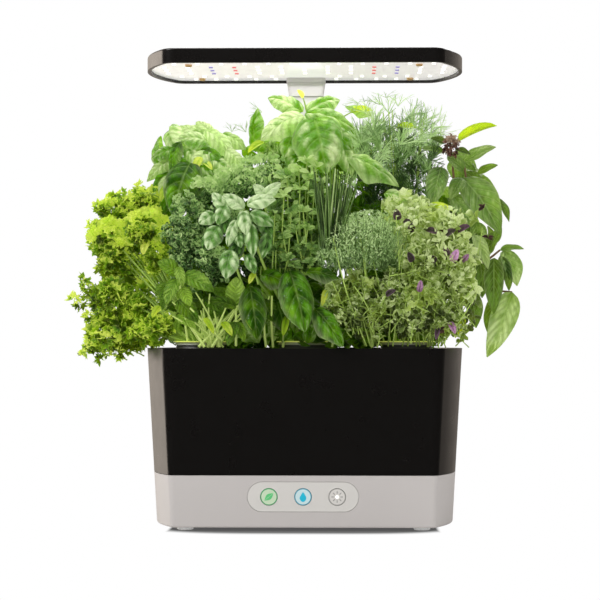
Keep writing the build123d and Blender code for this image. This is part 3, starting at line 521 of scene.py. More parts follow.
@dataclass(frozen=True)
class LeafShape:
    """One leaf, one unit long along +Y with its face to +Z; widths are shares of its length."""

    width: float = 0.6
    columns: int = 4
    rows: int = 6
    base: float = 0.55
    tip: float = 0.9
    fold: float = 0.15
    arch: float = 0.6
    pucker: float = 0.0
    ribs: float = 5.0
    teeth: int = 0
    tooth: float = 0.0
    ruffle: float = 0.0
    curl: float = 0.0
    # Strength of the painted shade in the creases and painted light on the bulges.
    wave: float = 0.42

    def point(self, across: float, along: float, phase: float) -> Vector:
        """Place of one point of the blade.

        Args:
            across: -1 to 1, from edge to edge.
            along: 0 to 1, from base to tip.
            phase: shifts the waves, so that no two templates are alike.

        Returns:
            The place.
        """
        widest = self.base / (self.base + self.tip)
        half = 0.5 * self.width * (along / widest) ** self.base * (
            max(1 - along, 0.0) / (1 - widest)) ** self.tip
        half = max(half, 0.012)
        side = abs(across)
        if self.teeth:
            cut = abs((along * self.teeth) % 1.0 - 0.5) * 2
            half *= 1 - self.tooth * cut * side ** 3
        swell = math.sin(math.pi * along)
        rise = self.fold * side * half * 2
        rise += self.pucker * self.bulge(across, along, phase) * (
            (1 - side ** 3) * side ** 0.5 * swell)
        wave = math.sin(9 * along + phase * 6 + (2 if across > 0 else 0))
        rise += self.ruffle * side ** 2 * wave * swell
        rise -= self.curl * side ** 4 * swell
        turn = self.arch * (along - 0.5)
        radius = 1 / self.arch
        spine = Vector((0, radius * math.sin(turn), radius * math.cos(turn)))
        end, top = radius * math.sin(self.arch / 2), radius * math.cos(self.arch / 2)
        spine = Vector((0, (spine.y + end) / (2 * end), (spine.z - top) / (2 * end)))
        return spine + Vector((across * half, rise * math.sin(turn), rise * math.cos(turn)))

    def bulge(self, across: float, along: float, phase: float) -> float:
        """How high a point stands between its side ribs, 0 to 1."""
        return abs(math.sin(math.pi * ((along - 0.25 * abs(across)) * self.ribs + phase)))

    def painted_shading(self, across: float, along: float, phase: float) -> float:
        """How much lighter a point of the blade is painted: painted light on the bulges, the tip
        and a band halfway to the edges, painted shade at the base, the midrib and the edges.

        Args:
            across: -1 to 1, from edge to edge.
            along: 0 to 1, from base to tip.
            phase: shifts the bulges.

        Returns:
            What is added to the leaf's own shade.
        """
        bulge = self.bulge(across, along, phase)
        crown = math.exp(-((abs(across) - 0.5) / 0.28) ** 2)
        return (self.wave * (bulge - 0.6) * min(self.pucker * 16, 1.0) + 0.22 * (along - 0.45)
                + 0.26 * (crown - 0.55))

    def mesh(self, seed: int) -> bpy.types.Mesh:
        """Builds one variant.

        Args:
            seed: which variant.

        Returns:
            The mesh.
        """
        phase = random.Random(seed).random()
        bm, shade = blade_grid(self.columns, self.rows)
        for vertex in bm.verts:
            across, along = vertex.co.x, (vertex.co.y + 1) / 2
            vertex[shade] = self.painted_shading(across, along, phase)
            vertex.co = self.point(across, along, phase)
        return to_mesh(bm, "leaf")


@dataclass(frozen=True)
class FrillShape:
    """A frilled fan of a leaflet, one unit long, as on curled parsley."""

    columns: int = 6
    rows: int = 2
    spread: float = 2.6
    lobes: float = 3.0
    notch: float = 0.3
    ruffle: float = 0.34
    cup: float = 0.3

    def mesh(self, seed: int) -> bpy.types.Mesh:
        """Builds one variant.

        Args:
            seed: which variant.

        Returns:
            The mesh.
        """
        draw = random.Random(seed)
        phase = draw.uniform(0, 6)
        bm, shade = blade_grid(self.columns, self.rows)
        for vertex in bm.verts:
            swing = vertex.co.x * self.spread / 2
            out = 0.12 + 0.88 * (vertex.co.y + 1) / 2
            cut = 0.5 + 0.5 * math.cos(self.lobes * swing * 2.2 + phase)
            reach = out * (1 - self.notch * cut * out)
            wave = math.sin(7.5 * swing + phase)
            rise = out ** 2 * (self.ruffle * wave + self.cup) + draw.uniform(-0.05, 0.05) * out
            # Painted shade: darker at the fan's foot, lighter at its outer edge and on the crests
            # of the ruffles.
            vertex[shade] = 0.55 * (out - 0.75) + 0.14 * wave * out
            vertex.co = Vector((reach * math.sin(swing), reach * math.cos(swing), rise))
        return to_mesh(bm, "frill")


def to_mesh(bm: bmesh.types.BMesh, name: str, smooth: bool = True) -> bpy.types.Mesh:
    """Turns a bmesh into a mesh and frees it.

    Args:
        bm: the bmesh.
        name: the mesh's name.
        smooth: whether its faces shade smoothly.

    Returns:
        The mesh.
    """
    for face in bm.faces:
        face.smooth = smooth
    mesh = bpy.data.meshes.new(name)
    bm.to_mesh(mesh)
    bm.free()
    return mesh


class Template:
    """A mesh that is copied many times, with its points kept as numbers."""

    def __init__(self, mesh: bpy.types.Mesh) -> None:
        """Reads the mesh's points.

        Args:
            mesh: the mesh.
        """
        self.mesh = mesh
        flat = np.zeros(len(mesh.vertices) * 3)
        mesh.vertices.foreach_get("co", flat)
        self.points = flat.reshape(-1, 3)
        if "shade" not in mesh.attributes:
            mesh.attributes.new("shade", "FLOAT", "POINT")
        self.shade = np.zeros(len(mesh.vertices), np.float32)
        mesh.attributes["shade"].data.foreach_get("value", self.shade)

    def pour(self, bm: bmesh.types.BMesh, matrix: Matrix, shade: float) -> None:
        """Adds a copy to a bmesh.

        Args:
            bm: where it goes.
            matrix: its place, turn and size.
            shade: how lit it is painted, from 0 in shade to 1 in full light.
        """
        grid = np.array(matrix)
        moved = self.points @ grid[:3, :3].T + grid[:3, 3]
        self.mesh.vertices.foreach_set("co", moved.ravel())
        shades = self.mesh.attributes["shade"].data
        shades.foreach_set("value", self.shade + np.float32(shade))
        bm.from_mesh(self.mesh)


def leaf_matrix(base: Vector, tip: Vector, face: Vector, width: float, lift: float) -> Matrix:
    """Matrix that lays a unit leaf from base to tip.

    Args:
        base: where the blade starts.
        tip: where it ends.
        face: the way its upper face looks.
        width: widening of the blade.
        lift: change of its arch and folds.

    Returns:
        The matrix.
    """
    along = tip - base
    length = along.length
    forward = along / length
    normal = face - forward * face.dot(forward)
    if normal.length < 1e-4:
        normal = forward.orthogonal()
    normal.normalize()
    across = forward.cross(normal)
    rows = Matrix((across * length * width, forward * length, normal * length * lift)).transposed()
    return Matrix.Translation(base) @ rows.to_4x4()


def upright(place: Vector, way: Vector, size: float) -> Matrix:
    """Matrix that stands a unit spray at a place, growing that way."""
    turn = Vector((0, 0, 1)).rotation_difference(way.normalized()).to_matrix().to_4x4()
    return Matrix.Translation(place) @ turn @ Matrix.Scale(size, 4)


def scatter(draw: random.Random) -> Vector:
    """A random push, with no way more likely than another."""
    return Vector((draw.gauss(0, 1), draw.gauss(0, 1), draw.gauss(0, 1)))


class Stems:
    """Collects stems as curve lines that become tubes."""

    def __init__(self, sides: int = 1) -> None:
        """Starts an empty curve.

        Args:
            sides: bevel resolution, 0 for square tubes.
        """
        self.curve = bpy.data.curves.new("stems", "CURVE")
        self.curve.dimensions = "3D"
        self.curve.bevel_depth = 1.0
        self.curve.bevel_resolution = sides
        self.curve.use_fill_caps = False
        self.curve.resolution_u = 3

    def add(self, points: list[Vector], start: float, end: float) -> None:
        """Adds one stem.

        Args:
            points: the points it passes by, in metres.
            start: its radius at the first point, in mm.
            end: its radius at the last point, in mm.
        """
        line = self.curve.splines.new("NURBS")
        last = len(points) - 1
        line.points.add(last)
        for number, (knot, place) in enumerate(zip(line.points, points)):
            knot.co = (*place, 1.0)
            knot.radius = (start + (end - start) * number / last) * MM
        line.order_u = 3
        line.use_endpoint_u = True

    def mesh(self) -> bpy.types.Mesh:
        """The tubes as one mesh.

        Returns:
            The mesh.
        """
        holder = bpy.data.objects.new("stems", self.curve)
        bpy.context.scene.collection.objects.link(holder)
        bpy.context.view_layer.update()
        mesh = bpy.data.meshes.new_from_object(holder)
        bpy.data.objects.remove(holder)
        return mesh


class Crop:
    """One plant being grown: its leaves and stems end up in one piece."""

    def __init__(self, seed: int) -> None:
        """Starts the plant.

        Args:
            seed: fixes its random draws.
        """
        self.bm = bmesh.new()
        self.bm.verts.layers.float.new("shade")
        self.bm.loops.layers.uv.new("UVMap")
        self.draw = random.Random(seed)
        self.stems = Stems()
        self.fine = Stems(0)

    def leaf(self, kinds: list[Template], base: Vector, tip: Vector, face: Vector, shade: float,
             width: float = 1.0, lift: float = 1.0) -> None:
        """Adds one leaf from base to tip."""
        self.draw.choice(kinds).pour(self.bm, leaf_matrix(base, tip, face, width, lift), shade)

    def heroes(self, kinds: list[Template], rows: tuple, own_width: float) -> None:
        """Adds listed leaves, one by one.

        Args:
            kinds: the leaf templates.
            rows: for each leaf, column, row and depth of its base and of its tip, its width in
                grid steps, sideways and upward turn of its face, and its shade.
            own_width: width of the templates over their length.
        """
        for c0, r0, d0, c1, r1, d1, wide, turn, up, shade in rows:
            base, tip = plan(c0, r0, d0), plan(c1, r1, d1)
            length = (tip - base).length
            widen = wide * (STEP * MM) / (length * own_width)
            self.leaf(kinds, base, tip, Vector((turn, -1.0, up)), shade, widen)

    def mound(self, kinds: list[Template], centre: Vector, radii: Point, count: int,
              size: tuple[float, float], shade: tuple[float, float], inner: float = 0.55,
              droop: float = 0.0, jitter: float = 0.5, floor: float = -1.0) -> None:
        """Scatters leaves over an ellipsoid, facing out.

        Args:
            kinds: the leaf templates.
            centre: its centre.
            radii: its half sizes, in mm.
            count: how many leaves.
            size: shortest and longest leaf, in mm.
            shade: shade at the underside and inside, and at the top.
            inner: where the shell starts, as a share of its radius.
            droop: how much leaf tips hang down.
            jitter: how loosely the leaves face out.
            floor: leaves whose direction is lower than this are left out.
        """
        draw = self.draw
        low, high = shade
        for _ in range(count):
            way = scatter(draw).normalized()
            if way.z < floor:
                continue
            share = inner + (1 - inner) * draw.random() ** 0.6
            spot = centre + Vector([w * r * MM * share for w, r in zip(way, radii)])
            face = (way + scatter(draw) * jitter).normalized()
            turn = Vector((draw.gauss(0, 1), draw.gauss(0, 1), draw.gauss(0, 1) - droop * 2))
            along = (turn - face * turn.dot(face)).normalized()
            length = draw.uniform(*size) * MM
            # Painted light: leaves at the top and out on the shell are painted lighter, those
            # underneath and deep inside darker, with a random spread.
            level = low + (high - low) * (0.5 + 0.5 * way.z) * (share - inner + 0.4) / (1.4 - inner)
            level += draw.gauss(0, 0.17)
            self.leaf(kinds, spot - along * length * 0.5, spot + along * length * 0.5, face, level)

    def clumps(self, kinds: list[Template], centre: Vector, radii: Point, count: int, clump: float,
               leaves: int, size: tuple[float, float], shade: tuple[float, float],
               patchy: float = 0.13) -> None:
        """Scatters tight rosettes over an ellipsoid, with dark hollows between them.

        Args:
            kinds: the leaf templates.
            centre: its centre.
            radii: its half sizes, in mm.
            count: how many rosettes.
            clump: radius of a rosette, in mm.
            leaves: leaves in each.
            size: shortest and longest leaf, in mm.
            shade: shade at the underside and at the top.
            patchy: how much the rosettes differ in shade.
        """
        draw = self.draw
        low, high = shade
        for _ in range(count):
            way = scatter(draw).normalized()
            share = draw.uniform(0.62, 1.0)
            spot = centre + Vector([w * r * MM * share for w, r in zip(way, radii)])
            # Painted light: rosettes at the top and out on the shell are painted lighter, and in
            # each the leaves on its lit side, up, left and to the front, lighter still, with a
            # random spread.
            level = low + (high - low) * (0.5 + 0.5 * way.z) * (0.4 + 0.6 * share)
            level += draw.gauss(0, patchy)
            lit = (way + Vector((-0.2, -0.4, 0.9))).normalized()
            for _ in range(leaves):
                off = (scatter(draw).normalized() + way * 0.6).normalized()
                foot = spot + off * clump * MM * draw.uniform(0.15, 0.75)
                aim = (off + scatter(draw) * 0.45).normalized()
                tip = foot + aim * draw.uniform(*size) * MM
                face = lit + scatter(draw) * 0.7
                self.leaf(kinds, foot, tip, face, level + 0.44 * off.dot(lit) + draw.gauss(0, 0.17))

    def sprig(self, kinds: list[Template], foot: Vector, tip: Vector, pairs: int, size: float,
              shade: float) -> None:
        """Adds a stem with crossed pairs of leaves that get smaller towards its tip.

        Args:
            kinds: the leaf templates.
            foot: where the stem starts.
            tip: where it ends.
            pairs: how many pairs.
            size: length of the lowest leaves, in mm.
            shade: shade of the lowest leaves; those above are painted lighter.
        """
        draw = self.draw
        sag = Vector((draw.gauss(0, 1), draw.gauss(0, 1), 0)) * 3 * MM
        line = arc(foot, tip, sag, 4)
        self.fine.add(line, 0.55, 0.3)
        up = (tip - line[2]).normalized()
        side = up.orthogonal().normalized()
        start = draw.uniform(0, math.pi)
        for number in range(pairs):
            share = 0.3 + 0.7 * number / max(pairs - 1, 1)
            knot = line[0].lerp(line[4], share) + sag * (4 * share * (1 - share))
            reach = size * MM * (1.0 - 0.5 * share) * draw.uniform(0.8, 1.2)
            turn = Matrix.Rotation(start + number * math.pi / 2, 3, up)
            for sign in (-1, 1):
                out = (turn @ side * sign + up * draw.uniform(0.2, 0.8)).normalized()
                face = (up - out * 0.4 + Vector((0, -0.35, 0.35))).normalized()
                # Painted light: higher pairs are painted lighter, with a random spread.
                painted_shading = shade + 0.4 * share + draw.gauss(0, 0.12)
                self.leaf(kinds, knot, knot + out * reach, face, painted_shading)

    def finish(self, name: str, replaced: tuple[str, ...], leaf: bpy.types.Material,
               stem: bpy.types.Material) -> bpy.types.Object:
        """Makes the piece.

        Args:
            name: its name.
            replaced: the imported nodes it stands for.
            leaf: material of the blades.
            stem: material of the stems.

        Returns:
            The piece.
        """
        for stems in (self.stems, self.fine):
            if not stems.curve.splines:
                continue
            first = len(self.bm.faces)
            self.bm.from_mesh(stems.mesh())
            self.bm.faces.ensure_lookup_table()
            for face in self.bm.faces[first:]:
                face.material_index = 1
                face.smooth = True
        mesh = bpy.data.meshes.new(name)
        self.bm.to_mesh(mesh)
        self.bm.free()
        piece = add_piece(name, mesh, "bowl", [leaf, stem])
        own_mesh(piece)
        if replaced:
            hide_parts(*replaced)
        LOG.info("%s: %d faces", name, len(mesh.polygons))
        return piece


def variants(shape: LeafShape | FrillShape, count: int, seed: int) -> list[Template]:
    """A few templates of one leaf shape."""
    return [Template(shape.mesh(seed + number)) for number in range(count)]


def arc(start: Vector, end: Vector, sag: Vector, steps: int = 3) -> list[Vector]:
    """Points from start to end, pushed aside by sag at the middle."""
    shares = [number / steps for number in range(steps + 1)]
    return [start.lerp(end, share) + sag * (4 * share * (1 - share)) for share in shares]


# ---------------------------------------------------------------- colours of the crops

# The stems' glow is painted light: they give none of their own.
STEM_PALE = Moulded("stem_pale", (166, 194, 92), 0.45, 900.0, 0.2, 0.9, glow=0.04)
STEM_MINT = Moulded("stem_mint", (188, 208, 116), 0.42, 900.0, 0.2, 0.9, glow=0.16)
STEM_DARK = Moulded("stem_dark", (112, 144, 62), 0.5, 900.0, 0.2, 0.35, glow=0.05)
STEM_BROWN = Moulded("stem_brown", (128, 96, 66), 0.55, 900.0, 0.2, 0.35)
STEM_THYME = Moulded("thyme_stem", (116, 146, 82), 0.5, 900.0, 0.2, 1.2)

PARSLEY = LeafFinish("parsley_leaf", (14, 42, 2), (88, 146, 16), (238, 244, 120), (170, 205, 70),
                     (196, 234, 30), rib_mark=0.1, net=6.0, mottle=0.9, roughness=0.36,
                     through=0.4, gold=0.4, lift=0.36)
MOSS = LeafFinish("curled_leaf", (26, 52, 18), (92, 134, 66), (212, 232, 158), (130, 170, 96),
                  (96, 160, 60), rib_mark=0.1, net=5.0, mottle=0.6, roughness=0.5, through=0.25,
                  gold=0.15, lift=0.3)
BUSH_BASIL = LeafFinish("bush_basil_leaf", (30, 66, 16), (98, 150, 58), (222, 238, 190),
                        (186, 214, 146), (120, 190, 50), ribs=4.0, rib_mark=0.22, net=10.0,
                        mottle=0.7, roughness=0.28, through=0.22, relief=0.7, lift=0.16)
BASIL = LeafFinish("basil_leaf", (18, 58, 2), (94, 158, 14), (236, 246, 190), (186, 222, 110),
                   (168, 228, 16), ribs=6.0, rib_mark=0.36, net=14.0, mottle=0.9, roughness=0.24,
                   through=0.42, relief=0.9, gold=0.4, lift=0.16)
DILL = LeafFinish("dill_thread", (50, 88, 36), (130, 168, 98), (216, 232, 184), (150, 190, 110),
                  (140, 190, 70), rib_mark=0.0, net=3.0, mottle=0.5, roughness=0.5, through=0.25,
                  gold=0.3, lift=0.4)
BALM = LeafFinish("balm_leaf", (26, 54, 14), (104, 150, 64), (206, 228, 150), (186, 216, 136),
                  (150, 205, 50), ribs=7.0, rib_mark=0.4, net=10.0, mottle=0.6, roughness=0.4,
                  through=0.3, gold=0.2, lift=0.22)
MINT = LeafFinish("mint_leaf", (30, 64, 8), (96, 146, 32), (172, 206, 92), (160, 198, 86),
                  (170, 216, 30), ribs=7.0, rib_mark=0.55, net=12.0, mottle=0.6, roughness=0.36,
                  through=0.35, relief=0.9, gold=0.4, lift=0.2)
THYME = LeafFinish("thyme_leaf", (62, 90, 42), (144, 178, 108), (210, 228, 170), (150, 180, 120),
                   (130, 176, 80), rib_mark=0.1, net=4.0, mottle=0.5, roughness=0.55, through=0.2,
                   lift=0.42)
OREGANO = LeafFinish("oregano_leaf", (34, 52, 10), (128, 156, 70), (226, 236, 190),
                     (190, 206, 130), (180, 206, 50), ribs=4.0, rib_mark=0.3, net=8.0, mottle=1.0,
                     roughness=0.42, through=0.3, gold=0.5, lift=0.3)
THAI = LeafFinish("thai_basil_leaf", (34, 66, 18), (106, 146, 62), (206, 224, 160),
                  (176, 206, 126), (166, 206, 40), ribs=7.0, rib_mark=0.5, net=16.0, mottle=0.6,
                  roughness=0.36, through=0.32, relief=0.8, gold=0.25, lift=0.16)
CHIVE = LeafFinish("chive_blade", (40, 70, 26), (108, 146, 68), (200, 220, 150), (130, 170, 90),
                   (130, 180, 70), rib_mark=0.0, net=2.0, mottle=0.4, roughness=0.34, through=0.15,
                   lift=0.26)
YOUNG = LeafFinish("young_leaf", (84, 136, 8), (156, 204, 24), (240, 246, 124), (230, 240, 120),
                   (236, 250, 30), ribs=5.0, rib_mark=0.3, net=10.0, mottle=0.5, roughness=0.3,
                   through=0.5, gold=0.6, lift=0.34)
PURPLE = LeafFinish("purple_leaf", (44, 44, 34), (104, 74, 92), (214, 160, 206), (150, 120, 140),
                    (150, 90, 140), ribs=4.0, rib_mark=0.2, net=8.0, mottle=0.5, roughness=0.4,
                    through=0.2, lift=0.15)
FLOWER = LeafFinish("flower_bract", (58, 30, 32), (132, 88, 72), (214, 186, 160), (120, 90, 60),
                    (150, 90, 60), rib_mark=0.1, net=5.0, mottle=0.6, roughness=0.6, through=0.15)


# ---------------------------------------------------------------- crops


@dataclass
class Plant:
    """A crop that ends up as one piece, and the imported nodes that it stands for."""

    name: str = "plant"
    seed: int = 0
    leaf: LeafFinish = PARSLEY
    stem: Moulded = STEM_PALE
    replaced: tuple[str, ...] = ()
    crop: Crop | None = field(default=None, init=False)

    def grow(self) -> None:
        """Adds the leaves and stems, which differ from crop to crop."""
        raise NotImplementedError

    def build(self) -> bpy.types.Object:
        """Grows the plant.

        Returns:
            The piece.
        """
        self.crop = Crop(self.seed)
        self.grow()
        return self.crop.finish(self.name, self.replaced, self.leaf.make(), self.stem.make())


@dataclass
class CurledParsley(Plant):
    """Curled parsley that fills and overhangs the left end."""

    name: str = "curled_parsley"
    seed: int = 11
    replaced: tuple[str, ...] = ("plant_1",)
    curled: tuple = (
        (119, 212, 6, 17, 13, 30, 46, 0.3, 0.9), (148, 204, 10, 13, 12, 28, 28, 0.25, 0.8),
        (112, 240, -14, 20, 18, 36, 88, 0.3, 1.15), (146, 230, -28, 20, 18, 30, 64, 0.35, 1.2),
        (158, 256, -24, 11, 16, 24, 22, 0.3, 1.0),
    )
    flat: tuple = (
        (118, 268, -4, 17, 13, 36, 42, 0.1, 0.6), (112, 298, -16, 18, 20, 36, 66, 0.05, 0.75),
        (136, 304, -10, 14, 20, 32, 34, 0.0, 0.55), (106, 332, -14, 14, 17, 30, 50, 0.4, 1.25),
        (130, 330, -16, 18, 16, 32, 50, 0.2, 0.95), (156, 330, -24, 15, 14, 28, 36, 0.2, 0.85),
        (148, 290, 44, 28, 36, 30, 60, 0.2, 0.75), (130, 245, 56, 30, 30, 28, 60, 0.3, 0.95),
    )
    sprigs: tuple = (
        (86, 300), (78, 303), (88, 318), (84, 284), (92, 346), (87, 350), (105, 354), (112, 350),
        (122, 350), (94, 226), (101, 207), (120, 196), (140, 193), (162, 190), (90, 242),
    )
    patchy: float = 0.24
    stems_each: int = 5

    def grow(self) -> None:
        """Adds curled tops, flatter skirts, their stems and loose sprigs at the edge."""
        crop, draw = self.crop, self.crop.draw
        frill = variants(FrillShape(), 8, 100)
        fan = variants(FrillShape(columns=8, spread=2.5, lobes=3.4, notch=0.5, ruffle=0.1,
                                  cup=0.16), 8, 140)
        for centre, radii, count, low, high in map(lobe, self.curled):
            crop.clumps(frill, centre, radii, count, 5.5, 11, (3.4, 6.2), (low - 0.08, high),
                        patchy=self.patchy)
        for centre, radii, count, low, high in map(lobe, self.flat):
            crop.clumps(fan, centre, radii, int(count * 0.8), 7.0, 6, (5.5, 9.5),
                        (low - 0.1, high), patchy=self.patchy)
        for c, r, d, w, h, deep, *_ in self.curled + self.flat:
            for _ in range(self.stems_each):
                end = plan(c + draw.uniform(-w, w) * 0.6, r + draw.uniform(-h, h) * 0.4,
                           d + draw.uniform(-deep, deep) * 0.5)
                start = LEFT_FRONT + Vector((draw.uniform(-6, 6), draw.uniform(-6, 6), 0)) * MM
                crop.stems.add(arc(start, end, Vector((-0.004, 0, 0.008))), 1.1, 0.5)
        for c, r in self.sprigs:
            end = plan(c, r, draw.uniform(-30, 10))
            crop.stems.add(arc(plan(c + 22, r + 6, 0), end, Vector((0, 0, 0.002))), 0.6, 0.4)
            for _ in range(3):
                spot = end + Vector([draw.uniform(-4, 4) for _ in range(3)]) * MM
                crop.clumps(fan, spot, (2.5, 2.5, 2.5), 1, 4.0, 5, (4.5, 7.5), (0.3, 1.1))


@dataclass
class CurledMoss(Plant):
    """Fine curled herb, blue green, behind the bush basil."""

    name: str = "curled_herb"
    seed: int = 23
    leaf: LeafFinish = MOSS
    stem: Moulded = STEM_DARK
    lobes: tuple = (
        (186, 228, -40, 22, 32, 38, 90, 0.2, 0.72), (200, 264, -46, 26, 24, 34, 80, 0.2, 0.75),
        (215, 214, -32, 22, 24, 34, 40, 0.15, 0.65), (240, 245, -44, 34, 34, 26, 60, 0.05, 0.5),
        (238, 182, -26, 24, 11, 30, 60, 0.6, 1.4), (206, 189, -30, 18, 8, 30, 40, 0.6, 1.4),
        (262, 172, -8, 28, 14, 30, 44, 0.5, 1.2), (200, 182, -6, 22, 16, 26, 30, 0.5, 1.3),
    )

    def grow(self) -> None:
        """Adds clumps of tiny frilled bits."""
        crop = self.crop
        bits = variants(FrillShape(columns=3, rows=1, spread=2.2, ruffle=0.4, notch=0.3), 8, 200)
        for centre, radii, count, low, high in map(lobe, self.lobes):
            crop.clumps(bits, centre, radii, count, 6.5, 22, (1.9, 3.7), (low - 0.04, high + 0.06),
                        patchy=0.14)


@dataclass
class BushBasil(Plant):
    """Small pale basil with a rosette of pointed leaves."""

    name: str = "bush_basil"
    seed: int = 31
    leaf: LeafFinish = BUSH_BASIL
    replaced: tuple[str, ...] = ("plant_3",)
    leaves: tuple = (
        (226, 209, -82, 212, 193, -84, 13, -0.2, 0.6, 0.95),
        (244, 209, -84, 223, 195, -90, 14, -0.1, 0.7, 1.0),
        (247, 205, -84, 276, 200, -88, 15, 0.1, 0.8, 0.9),
        (262, 198, -76, 281, 183, -74, 12, 0.3, 0.6, 1.1),
        (266, 196, -74, 253, 185, -78, 11, -0.2, 0.7, 1.0),
        (226, 205, -86, 218, 225, -90, 16, -0.2, 0.3, 0.7),
        (215, 214, -80, 199, 224, -84, 17, -0.5, 0.4, 0.75),
        (243, 211, -90, 246, 235, -96, 14, 0.1, 0.3, 0.8),
        (250, 213, -86, 274, 226, -88, 15, 0.2, 0.5, 0.6),
        (218, 226, -84, 208, 250, -88, 20, -0.3, 0.3, 0.62),
        (237, 220, -88, 228, 247, -92, 10, -0.5, 0.1, 0.8),
        (238, 233, -88, 241, 248, -92, 10, 0.0, 0.2, 0.55),
        (250, 224, -88, 253, 257, -94, 14, 0.2, 0.2, 0.62),
        (268, 232, -82, 262, 258, -86, 13, 0.5, 0.1, 0.5),
        (231, 250, -90, 226, 279, -94, 20, -0.1, 0.25, 0.7),
        (247, 254, -86, 255, 274, -90, 12, 0.3, 0.2, 0.55),
        (222, 212, -82, 232, 238, -84, 15, 0.0, 0.2, 0.3),
        (240, 240, -82, 232, 262, -84, 15, 0.0, 0.2, 0.3),
        (262, 215, -78, 270, 240, -80, 15, 0.3, 0.2, 0.3),
        (212, 232, -78, 204, 250, -80, 14, -0.3, 0.2, 0.35),
    )
    tops: tuple = ((244, 209, -82), (250, 224, -80), (262, 197, -72), (226, 207, -80),
                   (231, 250, -80))

    def grow(self) -> None:
        """Adds the leaves and the stems that carry them."""
        crop = self.crop
        shape = LeafShape(width=0.7, columns=12, rows=14, base=0.55, tip=0.75, fold=0.28, arch=1.3,
                          pucker=0.06, ribs=3.0, curl=0.4)
        crop.heroes(variants(shape, 4, 300), self.leaves, shape.width)
        for c, r, d in self.tops:
            crop.stems.add([MIDDLE_FRONT, plan(c + 20, r + 60, d * 0.6),
                            plan(c + 4, r + 14, d * 0.95), plan(c, r, d)], 1.4, 0.8)


@dataclass
class SweetBasil(Plant):
    """Large glossy basil: listed leaves before a looser back."""

    leaf: LeafFinish = BASIL
    leaves: tuple = ()
    root: Vector = field(default_factory=Vector)
    tops: tuple = ()
    back: tuple = ()

    def grow(self) -> None:
        """Adds the leaves, the back and the stems."""
        crop = self.crop
        shape = LeafShape(width=0.64, columns=12, rows=20, base=0.5, tip=0.75, fold=0.22, arch=0.9,
                          pucker=0.07, ribs=4.0, ruffle=0.06, curl=0.34, wave=0.2)
        kinds = variants(shape, 5, 400)
        crop.heroes(kinds, self.leaves, shape.width)
        for centre, radii, count, low, high in map(lobe, self.back):
            crop.mound(kinds, centre, radii, count, (18, 36), (low, high), inner=0.75, droop=0.6,
                       jitter=0.35, floor=-0.5)
        for c, r, d in self.tops:
            end = plan(c, r, d)
            crop.stems.add([self.root, self.root.lerp(end, 0.4) + Vector((0, 0.006, 0.01)),
                            self.root.lerp(end, 0.75) + Vector((0, 0.004, 0.01)), end], 2.0, 1.1)


TALL_BASIL = SweetBasil(
    "sweet_basil_tall", 41, replaced=("plant_4",), root=MIDDLE_BACK,
    leaves=(
        (256, 152, 10, 258, 108, 4, 15, -0.7, 0.1, 0.62),
        (304, 116, 0, 261, 141, -16, 33, -0.15, 1.3, 0.96),
        (303, 112, 18, 268, 98, 30, 20, -0.3, 1.2, 0.86),
        (305, 114, 4, 355, 130, -8, 24, 0.2, 1.0, 0.7),
        (306, 112, 24, 340, 100, 34, 22, 0.3, 1.4, 0.8),
        (314, 118, -14, 326, 174, -34, 54, 0.1, 0.45, 0.72),
        (300, 128, -8, 284, 158, -20, 30, -0.5, 0.4, 0.6),
        (338, 140, -8, 352, 176, -24, 22, 0.5, 0.3, 0.72),
        (346, 158, -16, 399, 187, -40, 17, 0.1, 0.9, 0.9),
        (372, 116, 40, 345, 107, 34, 11, -0.1, 0.8, 1.1),
        (385, 193, -40, 413, 204, -52, 16, 0.2, 0.8, 1.0),
        (322, 126, -10, 352, 150, -18, 30, 0.5, 0.6, 0.55),
        (296, 150, -10, 300, 172, -24, 26, 0.0, 0.3, 0.5),
    ),
    tops=((304, 116, 8), (340, 140, 0), (262, 152, 8), (372, 150, 20)),
    back=((300, 150, 52, 40, 40, 34, 26, 0.2, 1.1), (340, 160, 60, 40, 34, 30, 24, 0.2, 1.1)))
LEFT_BASIL = SweetBasil(
    "sweet_basil_left", 42, replaced=("plant_2",), root=LEFT_BACK,
    leaves=(
        (190, 163, -20, 173, 214, -40, 40, -0.1, 0.3, 0.25),
        (206, 131, 20, 234, 158, 0, 20, 0.3, 1.0, 1.3),
        (208, 142, 10, 178, 139, -4, 24, -0.2, 0.9, 0.8),
        (180, 142, 0, 171, 172, -14, 13, -0.5, 0.1, 0.25),
        (204, 136, 30, 176, 128, 34, 18, -0.2, 1.2, 1.2),
        (212, 134, 26, 196, 122, 34, 16, -0.1, 1.4, 1.1),
        (176, 150, 14, 152, 158, 6, 18, -0.4, 0.9, 0.55),
        (172, 160, 16, 147, 182, 4, 15, -0.4, 0.8, 0.95),
        (170, 172, 10, 153, 192, 0, 16, -0.5, 0.5, 0.35),
        (168, 176, 0, 160, 196, -10, 12, -0.5, 0.3, 1.1),
        (200, 150, 0, 222, 162, -14, 18, 0.2, 0.9, 0.45),
        (208, 152, -6, 192, 168, -20, 20, -0.2, 0.7, 1.15),
        (226, 150, 0, 244, 170, -10, 18, 0.4, 0.8, 1.2),
        (222, 134, 20, 246, 150, 14, 16, 0.4, 1.0, 0.95),
        (196, 160, -10, 212, 178, -24, 18, 0.2, 0.6, 0.6),
        (184, 190, -24, 170, 212, -40, 14, -0.2, 0.4, 0.75),
        (214, 160, -10, 232, 176, -22, 18, 0.3, 0.8, 0.95),
        (188, 148, 6, 196, 164, -10, 16, 0.1, 0.6, 0.9),
        (170, 196, 4, 160, 216, -6, 14, -0.4, 0.4, 0.4),
    ),
    tops=((206, 134, 18), (176, 150, 10), (190, 163, -10), (226, 150, 0)),
    back=((196, 166, 40, 42, 34, 34, 50, 0.2, 1.1), (170, 216, 50, 28, 36, 30, 24, 0.2, 1.1)))
